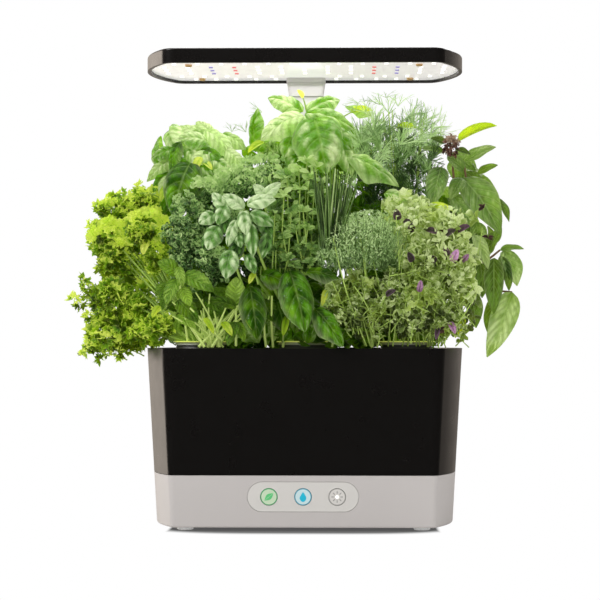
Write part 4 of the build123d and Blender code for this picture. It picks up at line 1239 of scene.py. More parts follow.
LOW_BASIL = SweetBasil(
    "sweet_basil_low", 43, root=Vector((-0.01, -0.034, DECK)),
    leaves=(
        (290, 271, -70, 305, 332, -84, 34, 0.1, 0.25, 0.5),
        (315, 309, -76, 343, 347, -86, 23, 0.15, 0.45, 0.46),
        (307, 272, -72, 339, 279, -84, 14, 0.1, 0.6, 0.2),
        (250, 287, -68, 257, 339, -80, 27, 0.1, 0.2, 0.2),
        (262, 274, -60, 290, 286, -72, 20, 0.1, 0.5, 0.45),
        (322, 312, -60, 330, 288, -64, 9, 0.1, 0.3, 1.05),
        (276, 300, -50, 286, 334, -60, 20, 0.1, 0.2, 0.15),
        (300, 300, -46, 330, 330, -56, 26, 0.1, 0.2, 0.1),
    ),
    tops=((290, 271, -66), (315, 309, -70), (250, 287, -60)))


def spray_mesh(seed: int, threads: int, spread: float, thickness: float) -> bpy.types.Mesh:
    """A forked spray of fine threads along +Z, one unit tall at most.

    Args:
        seed: which variant.
        threads: how many threads leave its foot.
        spread: how far they lean out.
        thickness: radius of a thread over its length, in thousandths.

    Returns:
        The mesh.
    """
    draw = random.Random(seed)
    stems = Stems(0)
    stems.curve.resolution_u = 1
    for _ in range(threads):
        turn = draw.uniform(0, 2 * math.pi)
        lean = spread * draw.random() ** 0.7
        way = Vector((math.cos(turn) * lean, math.sin(turn) * lean, 1.0)).normalized()
        reach = draw.uniform(0.6, 1.0)
        main = arc(Vector((0, 0, 0)), way * reach, scatter(draw) * 0.07 * reach)
        stems.add(main, thickness, thickness * 0.5)
        for _ in range(2):
            start = main[1].lerp(main[2], draw.random())
            off = (way + scatter(draw) * 0.6).normalized()
            bend, end = off * reach * 0.22, (off * 0.7 + way * 0.5) * reach * 0.42
            stems.add([start, start + bend, start + end], thickness * 0.8, thickness * 0.4)
    mesh = stems.mesh()
    for face in mesh.polygons:
        face.use_smooth = True
    return mesh


@dataclass
class Dill(Plant):
    """Feathery dill: fine pale threads over a denser body.

    Its tips droop under the hood, clear of it when the bowl is lifted.
    """

    name: str = "dill"
    seed: int = 51
    leaf: LeafFinish = DILL
    replaced: tuple[str, ...] = ("plant_6",)
    sprays: int = 210
    middle: tuple[float, float] = (392, 168)
    half: tuple[float, float] = (48, 52)
    lowest: float = 208
    tips: tuple = (
        (386, 92, 20, 1.0, 0.0, 22), (380, 104, 24, 1.0, -0.3, 24), (398, 106, 20, 1.0, 0.4, 24),
        (388, 112, 10, 1.0, 0.1, 24), (366, 112, 26, 1.0, -0.7, 22), (410, 116, 24, 1.0, 0.6, 22),
        (432, 128, 24, 0.8, 0.6, 22), (424, 122, 30, 1.0, 0.2, 20), (402, 122, 0, 1.0, 0.3, 22),
        (374, 122, 0, 1.0, -0.3, 22), (440, 134, 10, 0.6, 0.8, 20), (356, 112, 30, 0.8, -0.5, 14),
        (262, 112, 20, 0.5, -0.9, 15), (246, 132, 14, 0.7, -0.7, 13), (324, 96, 36, 0.8, 0.5, 14),
        (232, 132, 20, 0.9, -0.3, 10), (358, 100, 40, 0.7, -0.8, 16),
    )
    stalks: int = 14
    droop_from: float = 0.355
    droop_room: float = 0.0175

    def grow(self) -> None:
        """Adds the body, the wispy tips and the stems, then lets the tips droop."""
        crop, draw = self.crop, self.crop.draw
        kinds = [Template(spray_mesh(500 + n, 10, 1.3, 20.0)) for n in range(6)]
        wispy = [Template(spray_mesh(520 + n, 7, 1.5, 13.0)) for n in range(4)]
        for _ in range(self.sprays):
            c, r = draw.uniform(350, 436), draw.uniform(124, self.lowest)
            d = draw.uniform(-10, 76)
            if ((c - self.middle[0]) ** 2 / self.half[0] ** 2
                    + (r - self.middle[1]) ** 2 / self.half[1] ** 2 > 1):
                continue
            way = Vector((draw.gauss(0, 0.5), draw.gauss(-0.3, 0.5), draw.uniform(0.4, 1.2)))
            size = draw.uniform(14, 24) * MM
            # Painted light: sprays higher up are painted lighter, with a random spread.
            shade = 0.12 + 0.85 * (self.lowest - r) / 84 + draw.gauss(0, 0.34)
            draw.choice(kinds).pour(crop.bm, upright(plan(c, r, d), way, size), shade)
        for c, r, d, tall, lean, size in self.tips:
            matrix = upright(plan(c, r, d), Vector((lean, -0.15, tall)), size * MM)
            draw.choice(wispy).pour(crop.bm, matrix, draw.uniform(0.6, 1.1))
        for _ in range(self.stalks):
            end = plan(draw.uniform(362, 425), draw.uniform(110, 190), draw.uniform(0, 60))
            crop.stems.add(arc(RIGHT_BACK, end, Vector((0, 0, 0.01))), 1.0, 0.5)
        for vertex in crop.bm.verts:
            over = vertex.co.z - self.droop_from
            if over > 0.0:
                sunk = self.droop_room * (1.0 - math.exp(-over / self.droop_room))
                vertex.co.z = self.droop_from + sunk


@dataclass
class LemonBalm(Plant):
    """Small toothed leaves in tiers on thin pale stems."""

    name: str = "lemon_balm"
    seed: int = 61
    leaf: LeafFinish = BALM
    tiers: tuple = (
        (299, 170, -60, 13, 0.85), (287, 176, -66, 12, 0.7), (307, 161, -52, 11, 1.15),
        (281, 168, -56, 9, 1.0), (284, 196, -74, 10, 0.95), (300, 190, -72, 10, 0.7),
        (303, 210, -76, 9, 0.75), (314, 193, -64, 10, 0.7), (291, 212, -74, 11, 0.55),
        (316, 165, -50, 9, 1.05), (309, 178, -60, 10, 0.75), (275, 212, -70, 9, 0.5),
        (296, 230, -72, 8, 0.5), (308, 228, -72, 9, 0.5), (283, 236, -72, 9, 0.45),
        (300, 250, -70, 9, 0.4), (288, 258, -72, 9, 0.5), (312, 246, -70, 9, 0.45),
        (322, 182, -56, 9, 0.8), (294, 264, -70, 8, 0.4), (310, 262, -72, 8, 0.5),
        (276, 250, -68, 9, 0.3), (318, 212, -66, 9, 0.45), (268, 196, -60, 8, 0.4),
    )

    def grow(self) -> None:
        """Adds a ring of leaves and a stem at each tier, and a filling painted in shade."""
        crop, draw = self.crop, self.crop.draw
        shape = LeafShape(width=0.72, columns=4, rows=8, base=0.5, tip=0.8, fold=0.12, arch=0.6,
                          pucker=0.05, teeth=5, tooth=0.2)
        kinds = variants(shape, 4, 600)
        for c, r, d, size, shade in self.tiers:
            middle = plan(c, r, d)
            turn = draw.uniform(0, 3)
            for number in range(draw.randint(5, 8)):
                way = turn + number * math.pi / 2 + draw.gauss(0, 0.35)
                high = 0.5 * (number // 4) + draw.gauss(0, 0.2)
                along = Vector((math.cos(way), math.sin(way) * 0.7 - 0.15, high))
                start = middle + Vector((0, 0, draw.uniform(-2, 2))) * MM
                tip = start + along.normalized() * size * MM * draw.uniform(0.6, 1.0)
                face = Vector((draw.gauss(0, 0.4), -0.8, draw.uniform(0.5, 1.2)))
                crop.leaf(kinds, start, tip, face, shade + 0.16 + draw.gauss(0, 0.16),
                          draw.uniform(0.85, 1.15))
            foot = plan(c + draw.uniform(-8, 8), 275, d * 0.8)
            bend = middle.lerp(foot, 0.5) + Vector((0, -0.002, 0))
            crop.stems.add([middle, bend, foot], 0.45, 0.6)
        crop.clumps(kinds, plan(298, 244, -52), (26, 18, 28), 80, 6.0, 6, (4.0, 8.0), (0.0, 0.5))
        crop.clumps(kinds, plan(296, 196, -44), (26, 20, 24), 60, 6.0, 6, (4.5, 8.5), (0.05, 0.7))


@dataclass
class Chives(Plant):
    """A tuft of upright hollow blades."""

    name: str = "chives"
    seed: int = 71
    leaf: LeafFinish = CHIVE
    stem: Moulded = STEM_DARK
    blades: int = 96

    def grow(self) -> None:
        """Adds the blades, fanned out from left to right."""
        crop, draw = self.crop, self.crop.draw
        kinds = variants(LeafShape(width=0.03, columns=2, rows=6, base=0.2, tip=0.5, fold=0.8,
                                   arch=0.3), 3, 650)
        for number in range(self.blades):
            share = (number + draw.random()) / self.blades
            foot = plan(322 + 16 * share + draw.uniform(-2, 2), 250, draw.uniform(-78, -64))
            height = draw.uniform(0, 28) + 8 * abs(share - 0.4)
            top = plan(312 + 44 * share + draw.uniform(-4, 4), 164 + height,
                       draw.uniform(-92, -64))
            face = Vector((draw.gauss(0, 0.5), -1, draw.uniform(-0.4, 0.4)))
            crop.leaf(kinds, foot, top, face, draw.gauss(0.46, 0.3), draw.uniform(0.35, 0.62),
                      draw.uniform(-0.6, 1.0))


@dataclass
class Thyme(Plant):
    """Fine bluish thyme over the centre right."""

    name: str = "thyme"
    seed: int = 81
    leaf: LeafFinish = THYME
    stem: Moulded = STEM_THYME
    replaced: tuple[str, ...] = ("plant_5",)
    lobes: tuple = (
        (364, 244, -66, 42, 27, 26, 2500, 0.6, 1.5), (384, 252, -60, 26, 20, 26, 800, 0.6, 1.45),
        (336, 258, -66, 20, 14, 22, 600, 0.5, 1.3), (370, 222, -56, 30, 12, 22, 700, 0.6, 1.5),
    )
    wires: int = 150

    def grow(self) -> None:
        """Adds a dust of tiny leaves over fine stems."""
        crop, draw = self.crop, self.crop.draw
        bits = variants(LeafShape(width=0.3, columns=2, rows=2, fold=0.3, arch=0.6), 4, 700)
        for centre, radii, count, low, high in map(lobe, self.lobes):
            crop.mound(bits, centre, radii, count, (2.4, 4.6), (low, high), inner=0.62,
                       jitter=0.9, droop=-0.5)
        for _ in range(self.wires):
            way = draw.uniform(-1, 1)
            rise = 34 * math.sqrt(1 - way * way) * draw.uniform(-0.5, 1.0)
            end = plan(363 + 46 * way, 244 - rise, draw.uniform(-98, -60))
            start = plan(361 + 34 * way, 268, -62)
            sag = Vector((draw.gauss(0, 2), -5, draw.gauss(0, 2))) * MM
            crop.fine.add(arc(start, end, sag), 0.4, 0.25)


@dataclass
class Oregano(Plant):
    """Trailing oregano and marjoram on thin stems, front right."""

    name: str = "oregano"
    seed: int = 91
    leaf: LeafFinish = OREGANO
    lobes: tuple = (
        (432, 238, -52, 34, 26, 36, 66, 0.45, 1.35), (440, 264, -58, 36, 28, 30, 66, 0.35, 1.2),
        (452, 300, -50, 22, 33, 34, 60, 0.25, 0.95), (410, 304, -60, 40, 29, 28, 96, 0.0, 0.74),
        (358, 304, -54, 32, 29, 26, 76, -0.05, 0.64), (408, 212, -50, 22, 16, 30, 36, 0.55, 1.4),
        (440, 260, 40, 46, 48, 40, 90, 0.1, 0.8), (390, 250, 40, 48, 48, 36, 70, 0.1, 0.7),
    )
    beds: tuple = (
        (430, 232, -86, 32, 24, 52, 10.0, 0.7), (446, 268, -88, 26, 26, 44, 9.0, 0.55),
        (404, 296, -86, 34, 28, 46, 6.5, 0.4), (452, 306, -76, 16, 26, 24, 6.5, 0.5),
        (356, 300, -80, 26, 24, 26, 6.0, 0.3), (414, 206, -64, 24, 10, 20, 9.5, 0.9),
        (430, 250, 60, 40, 40, 40, 9.0, 0.5),
    )
    runners: int = 50

    def grow(self) -> None:
        """Adds clumps of small leaves, sprigs over them and long bare runners."""
        crop, draw = self.crop, self.crop.draw
        small = variants(LeafShape(width=0.74, columns=2, rows=4, base=0.45, tip=0.6, fold=0.2,
                                   arch=0.6), 5, 800)
        for centre, radii, count, low, high in map(lobe, self.lobes):
            crop.clumps(small, centre, radii, count, 6.5, 6, (4.0, 8.5), (low - 0.1, high),
                        patchy=0.34)
        broad = variants(LeafShape(width=0.62, columns=4, rows=5, base=0.5, tip=0.75, fold=0.25,
                                   arch=0.7, pucker=0.03), 5, 830)
        for c, r, d, w, h, count, size, shade in self.beds:
            front = -0.5 if d < 0 else 0.5
            for _ in range(count):
                top = plan(c + draw.uniform(-w, w), r + draw.uniform(-h, h),
                           d + draw.uniform(-8, 8))
                way = Vector((draw.gauss(0, 0.5), front, draw.uniform(0.2, 1.2))).normalized()
                kinds = broad if draw.random() < 0.6 else small
                foot = top - way * draw.uniform(14, 24) * MM
                crop.sprig(kinds, foot, top, draw.randint(3, 5), size * draw.uniform(0.8, 1.3),
                           shade + draw.gauss(0, 0.15))
        for _ in range(self.runners):
            c = draw.uniform(340, 470)
            top = plan(c + draw.uniform(-14, 14), draw.uniform(215, 300), draw.uniform(-92, -50))
            foot = plan(c * 0.6 + 160, 346, draw.uniform(-66, -30))
            sag = Vector((draw.uniform(-8, 8), -6, 0)) * MM
            crop.stems.add(arc(foot, top, sag), 0.65, 0.35)


@dataclass
class ThaiBasil(Plant):
    """Tall leaning basil at the right end."""

    name: str = "thai_basil"
    seed: int = 101
    leaf: LeafFinish = THAI
    stem: Moulded = STEM_BROWN
    leaves: tuple = (
        (456, 149, -6, 471, 155, -10, 7, 0.2, 0.6, 0.1),
        (446, 143, -4, 431, 138, -2, 8, -0.2, 0.6, 0.1),
        (444, 152, -4, 421, 149, 0, 9, -0.1, 0.8, 0.55),
        (464, 162, 10, 496, 147, 14, 14, 0.3, 0.9, 0.72),
        (478, 173, 10, 498, 165, 6, 9, 0.4, 0.6, 0.3),
        (464, 170, 0, 447, 157, -6, 14, -0.2, 0.6, 0.6),
        (462, 178, 4, 500, 234, -10, 36, 0.3, 0.35, 0.52),
        (496, 198, 14, 509, 222, 10, 10, 0.7, 0.2, 0.35),
        (441, 167, -10, 432, 206, -24, 22, -0.1, 0.3, 0.5),
        (462, 178, -4, 450, 200, -14, 15, -0.1, 0.4, 0.66),
        (466, 172, 14, 484, 196, 18, 18, 0.5, 0.5, 0.4),
        (500, 250, -6, 524, 249, -10, 9, 0.2, 0.8, 0.5),
        (504, 250, -4, 517, 286, -10, 22, 0.4, 0.2, 0.72),
        (494, 258, -16, 494, 314, -26, 20, -0.1, 0.2, 0.34),
        (500, 256, -10, 509, 291, -14, 13, 0.4, 0.1, 0.2),
        (512, 292, -6, 487, 357, -20, 27, 0.2, 0.3, 0.85),
        (496, 296, 0, 488, 334, -4, 14, -0.4, 0.1, 0.15),
        (488, 246, 0, 492, 232, -4, 8, 0.0, 0.4, 0.1),
        (492, 244, 4, 501, 224, 2, 10, 0.3, 0.3, 0.45),
        (474, 235, -30, 488, 269, -40, 14, 0.3, 0.2, 0.95),
        (426, 212, -30, 453, 210, -38, 10, 0.1, 0.9, 1.15),
        (480, 262, -10, 482, 298, -14, 16, 0.2, 0.2, 0.4),
        (396, 196, -30, 414, 208, -44, 12, 0.2, 0.8, 0.9),
        (470, 290, -6, 476, 328, -14, 18, 0.2, 0.2, 0.3),
        (452, 196, -10, 470, 226, -18, 18, 0.3, 0.4, 0.62),
    )
    branches: tuple = (
        ((452, 240, 4), (456, 190, 0), (450, 138, 0)),
        ((460, 250, 6), (470, 200, 6), (464, 164, 8)),
        ((470, 270, 0), (486, 262, 0), (500, 250, -4)),
        ((470, 292, 0), (490, 290, 0), (512, 292, -6)),
    )

    def grow(self) -> None:
        """Adds the leaves, a looser back and the branches."""
        crop = self.crop
        shape = LeafShape(width=0.52, columns=8, rows=14, base=0.6, tip=0.9, fold=0.1, arch=0.8,
                          pucker=0.03, ribs=6, ruffle=0.03)
        kinds = variants(shape, 5, 900)
        crop.heroes(kinds, self.leaves, shape.width)
        crop.mound(kinds, plan(470, 220, 46), (22, 34, 52), 40, (20, 34), (0.2, 0.8), inner=0.7,
                   droop=0.9, jitter=0.35)
        for points in self.branches:
            crop.stems.add([RIGHT_BACK] + [plan(*place) for place in points], 1.6, 0.8)


@dataclass
class BasilFlower(Plant):
    """Brown flower head of the leaning basil, and bracts fallen among the leaves."""

    name: str = "basil_flower"
    seed: int = 102
    leaf: LeafFinish = FLOWER
    stem: Moulded = STEM_BROWN
    bracts: int = 4
    fallen: tuple = (
        (399, 214, -60, 10), (408, 224, -64, 9), (446, 258, -80, 9), (441, 330, -80, 8),
        (483, 208, -30, 9), (456, 262, -80, 8), (488, 238, -30, 8), (438, 230, -76, 8),
    )

    def grow(self) -> None:
        """Adds the head, and a few bracts at each fallen place."""
        crop, draw = self.crop, self.crop.draw
        bract = variants(LeafShape(width=0.6, columns=2, rows=3, fold=0.3, arch=0.9), 4, 950)
        crop.clumps(bract, plan(451, 146, -4), (5.0, 5.0, 8.0), 26, 3.0, 6, (3.0, 5.5),
                    (0.1, 1.2), patchy=0.3)
        for c, r, d, size in self.fallen:
            for _ in range(self.bracts):
                way = draw.uniform(0, 6.28)
                tip = plan(c + math.cos(way) * size * 0.8, r + math.sin(way) * size * 0.5, d - 3)
                crop.leaf(bract, plan(c, r, d), tip, Vector((0, -1, 0.5)), draw.uniform(0.0, 0.5))


@dataclass
class Undergrowth(Plant):
    """Inner leaves, painted in shade, that close the gaps between the crops."""

    name: str = "undergrowth"
    seed: int = 121
    leaf: LeafFinish = BASIL
    stem: Moulded = STEM_DARK
    beds: tuple = (
        (296, 222, 4, 96, 52, 24, 330, 0.05, 0.4), (300, 300, 0, 110, 40, 26, 260, 0.0, 0.3),
        (400, 290, 0, 60, 50, 34, 160, 0.0, 0.3), (205, 250, 10, 50, 60, 34, 170, 0.05, 0.4),
        (400, 225, 20, 60, 46, 34, 160, 0.05, 0.45), (300, 165, 34, 60, 36, 10, 120, 0.2, 0.7),
        (236, 322, 0, 44, 16, 24, 90, 0.4, 1.1), (305, 326, -14, 60, 14, 24, 90, 0.1, 0.8),
        (236, 334, -20, 44, 9, 18, 40, 0.5, 1.2), (330, 336, -40, 50, 8, 18, 60, 0.1, 0.8),
        (250, 338, 24, 90, 7, 24, 110, 0.0, 0.4), (390, 338, 24, 60, 7, 24, 90, 0.0, 0.4),
    )

    def grow(self) -> None:
        """Adds loose leaves in every bed."""
        crop = self.crop
        kinds = variants(LeafShape(width=0.6, columns=4, rows=6, fold=0.15, arch=0.8,
                                   pucker=0.03), 5, 1100)
        for centre, radii, count, low, high in map(lobe, self.beds):
            crop.mound(kinds, centre, radii, count, (12, 22), (low, high), inner=0.2, jitter=0.9,
                       droop=0.3)


@dataclass
class Mint(Plant):
    """Spearmint sprig and toothed leaves at the lower left, with bare stems near the rim."""

    name: str = "spearmint"
    seed: int = 111
    leaf: LeafFinish = MINT
    stem: Moulded = STEM_MINT
    leaves: tuple = (
        (178, 273, -74, 157, 262, -80, 19, -0.2, 0.6, 0.55),
        (183, 275, -76, 214, 292, -84, 21, 0.2, 0.5, 0.62),
        (177, 279, -78, 166, 305, -84, 15, -0.2, 0.3, 0.75),
        (178, 267, -80, 183, 287, -86, 11, 0.0, 0.3, 0.9),
        (182, 288, -78, 190, 306, -82, 14, 0.1, 0.4, 0.95),
        (178, 300, -66, 198, 322, -74, 20, 0.1, 0.3, 0.2),
        (176, 316, -60, 196, 328, -70, 14, 0.0, 0.6, 0.85),
        (236, 307, -70, 209, 301, -78, 14, -0.1, 0.6, 0.25),
        (236, 304, -66, 236, 277, -70, 22, 0.0, 0.3, 0.85),
        (236, 322, -72, 228, 346, -80, 14, -0.2, 0.3, 0.3),
        (237, 322, -70, 244, 342, -78, 12, 0.3, 0.3, 0.4),
        (230, 322, -70, 226, 330, -76, 8, 0.0, 0.5, 0.95),
        (205, 300, -60, 224, 312, -68, 14, 0.1, 0.5, 0.35),
        (168, 290, -60, 160, 300, -66, 12, -0.2, 0.5, 0.5),
        (262, 300, -54, 274, 322, -60, 18, 0.2, 0.3, 0.25),
        (216, 288, -54, 230, 300, -60, 14, 0.1, 0.5, 0.45),
    )
    bare: int = 22
    lone: tuple = (266, 273, 283, 332, 372, 428)
    carriers: tuple = (((190, 308, -74), (222, 340, -66)), ((236, 310, -70), (236, 346, -66)),
                       ((178, 270, -76), (188, 344, -50)))
    rim_row: float = 347

    def grow(self) -> None:
        """Adds the leaves, a looser filling and the bare stems."""
        crop, draw = self.crop, self.crop.draw
        shape = LeafShape(width=0.7, columns=8, rows=21, base=0.5, tip=0.8, fold=0.1, arch=0.7,
                          pucker=0.05, ribs=5, teeth=7, tooth=0.16)
        kinds = variants(shape, 4, 1000)
        crop.heroes(kinds, self.leaves, shape.width)
        crop.mound(kinds, plan(216, 300, -40), (52, 22, 22), 60, (10, 18), (0.1, 0.8), inner=0.5,
                   droop=0.3)
        crop.mound(kinds, plan(226, 326, -40), (46, 14, 14), 26, (8, 14), (0.5, 1.3), inner=0.5,
                   droop=0.3)
        for number in range(self.bare):
            foot = plan(206 + draw.uniform(-12, 18), self.rim_row, draw.uniform(-66, -46))
            top = plan(172 + number * 4.2 + draw.uniform(-4, 4), draw.uniform(292, 318),
                       draw.uniform(-76, -50))
            sag = Vector((draw.uniform(-4, 4), 0, 2)) * MM
            crop.stems.add(arc(foot, top, sag), draw.uniform(0.7, 1.5), 0.6)
        for c in self.lone:
            foot = plan(c, self.rim_row, draw.uniform(-66, -40))
            top = plan(c + draw.uniform(-10, 10), 296, draw.uniform(-70, -40))
            crop.stems.add(arc(foot, top, Vector((draw.uniform(-4, 4), 0, 0)) * MM), 1.1, 0.8)
        for start, end in self.carriers:
            crop.stems.add([plan(*start), (plan(*start) + plan(*end)) / 2, plan(*end)], 0.9, 1.1)


@dataclass
class Accents(Plant):
    """Single leaves of another colour here and there, each on a short stalk."""

    leaves: tuple = ()

    def grow(self) -> None:
        """Adds the leaves and their stalks."""
        crop = self.crop
        shape = LeafShape(width=0.56, columns=6, rows=8, base=0.5, tip=0.7, fold=0.2, arch=0.8,
                          pucker=0.03, ribs=4.0, wave=0.2)
        crop.heroes(variants(shape, 4, self.seed * 10), self.leaves, shape.width)
        for c0, r0, d0, c1, r1, *_ in self.leaves:
            foot = plan(c0 - (c1 - c0) * 0.5, r0 + abs(r1 - r0) * 0.3 + 8, d0 + 8)
            crop.stems.add(arc(foot, plan(c0, r0, d0), Vector((0, 0, 0.001))), 0.7, 0.5)


YOUNG_LEAVES = Accents("young_leaves", 131, YOUNG, leaves=(
    (201, 157, -18, 195, 171, -22, 9, -0.1, 0.6, 0.9),
    (204, 163, -16, 212, 170, -24, 7, 0.2, 0.7, 0.9),
    (169, 185, -8, 161, 202, -14, 9, -0.4, 0.4, 0.7),
    (264, 142, -12, 248, 153, -18, 8, -0.1, 0.8, 0.8),
    (350, 113, 30, 373, 111, 30, 10, 0.2, 0.9, 0.6),
    (396, 128, 16, 419, 129, 16, 9, 0.2, 0.9, 0.5), (457, 142, 0, 497, 126, 4, 12, 0.2, 0.9, 0.5),
    (426, 208, -50, 453, 211, -58, 9, 0.1, 0.9, 0.7),
    (463, 316, -40, 455, 338, -50, 9, 0.1, 0.4, 0.6),
    (326, 290, -62, 322, 306, -68, 6, 0.1, 0.4, 0.9),
    (148, 238, -48, 143, 255, -54, 9, -0.1, 0.5, 0.9),
    (134, 217, -24, 128, 228, -30, 7, -0.1, 0.5, 0.9),
    (255, 273, -82, 249, 284, -86, 6, -0.1, 0.5, 0.8),
    (287, 316, -64, 283, 336, -70, 7, 0.1, 0.4, 0.5),
    (204, 318, -76, 214, 334, -80, 6, 0.1, 0.5, 0.7), (303, 98, 0, 297, 90, -4, 6, 0.1, 0.6, 1.0),
    (160, 306, -50, 152, 318, -54, 7, -0.2, 0.4, 0.8),
    (222, 322, -78, 232, 336, -82, 8, 0.2, 0.5, 0.6),
    (246, 316, -76, 252, 330, -82, 6, 0.2, 0.5, 0.7),
))
PURPLE_LEAVES = Accents("purple_leaves", 132, PURPLE, leaves=(
    (452, 262, -90, 458, 249, -94, 8, 0.1, 0.4, 0.9),
    (448, 256, -90, 444, 246, -94, 6, -0.1, 0.4, 0.4),
    (462, 262, -86, 469, 254, -90, 6, 0.3, 0.4, 0.7),
    (419, 292, -92, 421, 280, -95, 6, 0.1, 0.4, 0.7),
    (449, 322, -76, 455, 334, -82, 7, 0.2, 0.4, 0.9),
    (438, 328, -80, 436, 340, -86, 5, 0.0, 0.4, 0.3),
    (398, 220, -78, 396, 209, -82, 8, -0.1, 0.4, 0.2),
    (403, 222, -80, 416, 224, -84, 7, 0.1, 0.8, 0.2),
    (410, 232, -84, 414, 222, -88, 7, 0.2, 0.5, 0.1),
    (426, 230, -86, 438, 234, -90, 8, 0.1, 0.8, 0.3),
    (446, 236, -86, 456, 230, -90, 8, 0.1, 0.8, 0.2),
    (458, 232, -84, 470, 226, -88, 8, 0.2, 0.8, 0.4),
    (436, 262, -92, 430, 256, -95, 6, 0.0, 0.5, 0.1),
    (412, 262, -92, 408, 252, -95, 7, 0.0, 0.5, 0.1),
    (386, 296, -90, 396, 290, -94, 6, 0.0, 0.5, 0.2),
))
CROPS = (CurledParsley(), CurledMoss(), BushBasil(), TALL_BASIL, LEFT_BASIL, LOW_BASIL, Dill(),
         LemonBalm(), Chives(), Thyme(), Oregano(), ThaiBasil(), BasilFlower(), Undergrowth(),
         Mint(), YOUNG_LEAVES, PURPLE_LEAVES)


# ---------------------------------------------------------------- hard pieces

# Glow on the feet, tube, board and screws is painted light: they are no lamps; only the LEDs give
# light.
HARD = {
    "base_shell": Moulded("base_plastic", (189, 184, 182), 0.5, 2600.0, 0.05, 0.03),
    "base_floor_plate": Moulded("floor_plastic", (150, 148, 144), 0.55, 2600.0, 0.06, 0.04),
    "rubber_feet": Moulded("foot_rubber", (236, 236, 235), 0.5, 1800.0, 0.08, 0.05, clear=0.2,
                           glow=0.22),
    "base_screws": Moulded("screw_steel", (150, 150, 152), 0.3, 3000.0, 0.04, 0.1, 1.0),
    "control_panel": Moulded("panel_plastic", (206, 203, 199), 0.42, 3000.0, 0.03, 0.02),
    "control_board": Moulded("circuit_green", (24, 84, 52), 0.4, 1500.0, 0.1, 0.2),
    "tact_switches": Moulded("switch_black", (28, 28, 30), 0.45, 2500.0, 0.05, 0.1),
    "indicator_leds": Moulded("indicator_lens", (235, 236, 228), 0.3, 2500.0, 0.02, 0.04),
    "dc_inlet": Moulded("inlet_black", (24, 24, 26), 0.4, 2500.0, 0.05, 0.1),
    "main_board": Moulded("circuit_green_main", (22, 78, 50), 0.4, 1500.0, 0.1, 0.2),
    "base_contacts": Moulded("contact_brass", (196, 158, 84), 0.3, 3000.0, 0.04, 0.1, 1.0),
    "mast_tower": Moulded("mast_plastic", (214, 213, 210), 0.48, 2600.0, 0.05, 0.04),
    "mast_bush": Moulded("bush_plastic", (188, 187, 184), 0.45, 2600.0, 0.05, 0.04),
    "mast_tube": Moulded("tube_anodised", (206, 200, 204), 0.4, 3400.0, 0.06, 0.04, glow=0.05),
    "mast_shoe": Moulded("shoe_plastic", (60, 60, 62), 0.5, 2600.0, 0.05, 0.06),
    "mast_bracket": Moulded("bracket_plastic", (196, 195, 192), 0.48, 2600.0, 0.05, 0.04),
    "mast_collar": Moulded("collar_plastic", (199, 192, 197), 0.42, 2600.0, 0.05, 0.04),
    "hood_housing": Moulded("hood_plastic", (19, 17, 16), 0.28, 3000.0, 0.04, 0.12, specular=0.45),
    "light_board": Moulded("board_white", (248, 244, 247), 0.16, 2600.0, 0.01, 0.02, coat=0.35,
                           glow=0.46),
    "hood_screws": Moulded("screw_brass", (196, 158, 112), 0.35, 3000.0, 0.04, 0.1, 0.6, glow=0.15),
    "leds_white": Moulded("led_white", (255, 254, 250), 0.4, 2600.0, 0.02, 0.02, glow=0.55),
    "leds_red": Moulded("led_red", (214, 112, 112), 0.25, 2600.0, 0.02, 0.02, glow=0.35),
    "leds_blue": Moulded("led_blue", (140, 132, 190), 0.25, 2600.0, 0.02, 0.02, glow=0.35),
    "bowl": Moulded("bowl_plastic", (17, 15, 14), 0.3, 3000.0, 0.04, 0.12, specular=0.45),
    "bowl_contacts": Moulded("plate_brass", (196, 158, 84), 0.3, 3000.0, 0.04, 0.1, 1.0),
    "grow_deck": Moulded("deck_plastic", (64, 62, 60), 0.42, 2200.0, 0.08, 0.12),
    "pump_cover": Moulded("cover_plastic", (34, 34, 34), 0.45, 2200.0, 0.08, 0.1),
    "pump_housing": Moulded("pump_plastic", (30, 30, 32), 0.45, 2200.0, 0.08, 0.1),
    "pump_coil": Moulded("coil_copper", (184, 104, 60), 0.32, 3000.0, 0.1, 0.1, 1.0),
    "pump_shaft": Moulded("shaft_ceramic", (232, 230, 224), 0.25, 3000.0, 0.02, 0.03),
    "pump_filter": Moulded("filter_foam", (54, 54, 54), 0.9, 500.0, 0.9, 0.3),
    "pump_riser": Moulded("riser_plastic", (36, 36, 38), 0.45, 2200.0, 0.06, 0.1),
    "impeller": Moulded("impeller_white", (222, 222, 220), 0.4, 2400.0, 0.04, 0.05),
}
POD = {
    "grow_basket": Moulded("basket_plastic", (150, 152, 140), 0.45, 2400.0, 0.05, 0.06),
    "grow_sponge": Moulded("peat_sponge", (74, 54, 38), 0.95, 600.0, 1.0, 0.5),
    # The labels' glow is painted light.
    "pod_label": Moulded("pod_label", (218, 228, 106), 0.45, 1200.0, 0.05, 0.08, glow=0.3),
}


class Icon(Enum):
    """What the three round buttons show."""

    LEAF = "food"
    DROP = "water"
    SUN = "light"


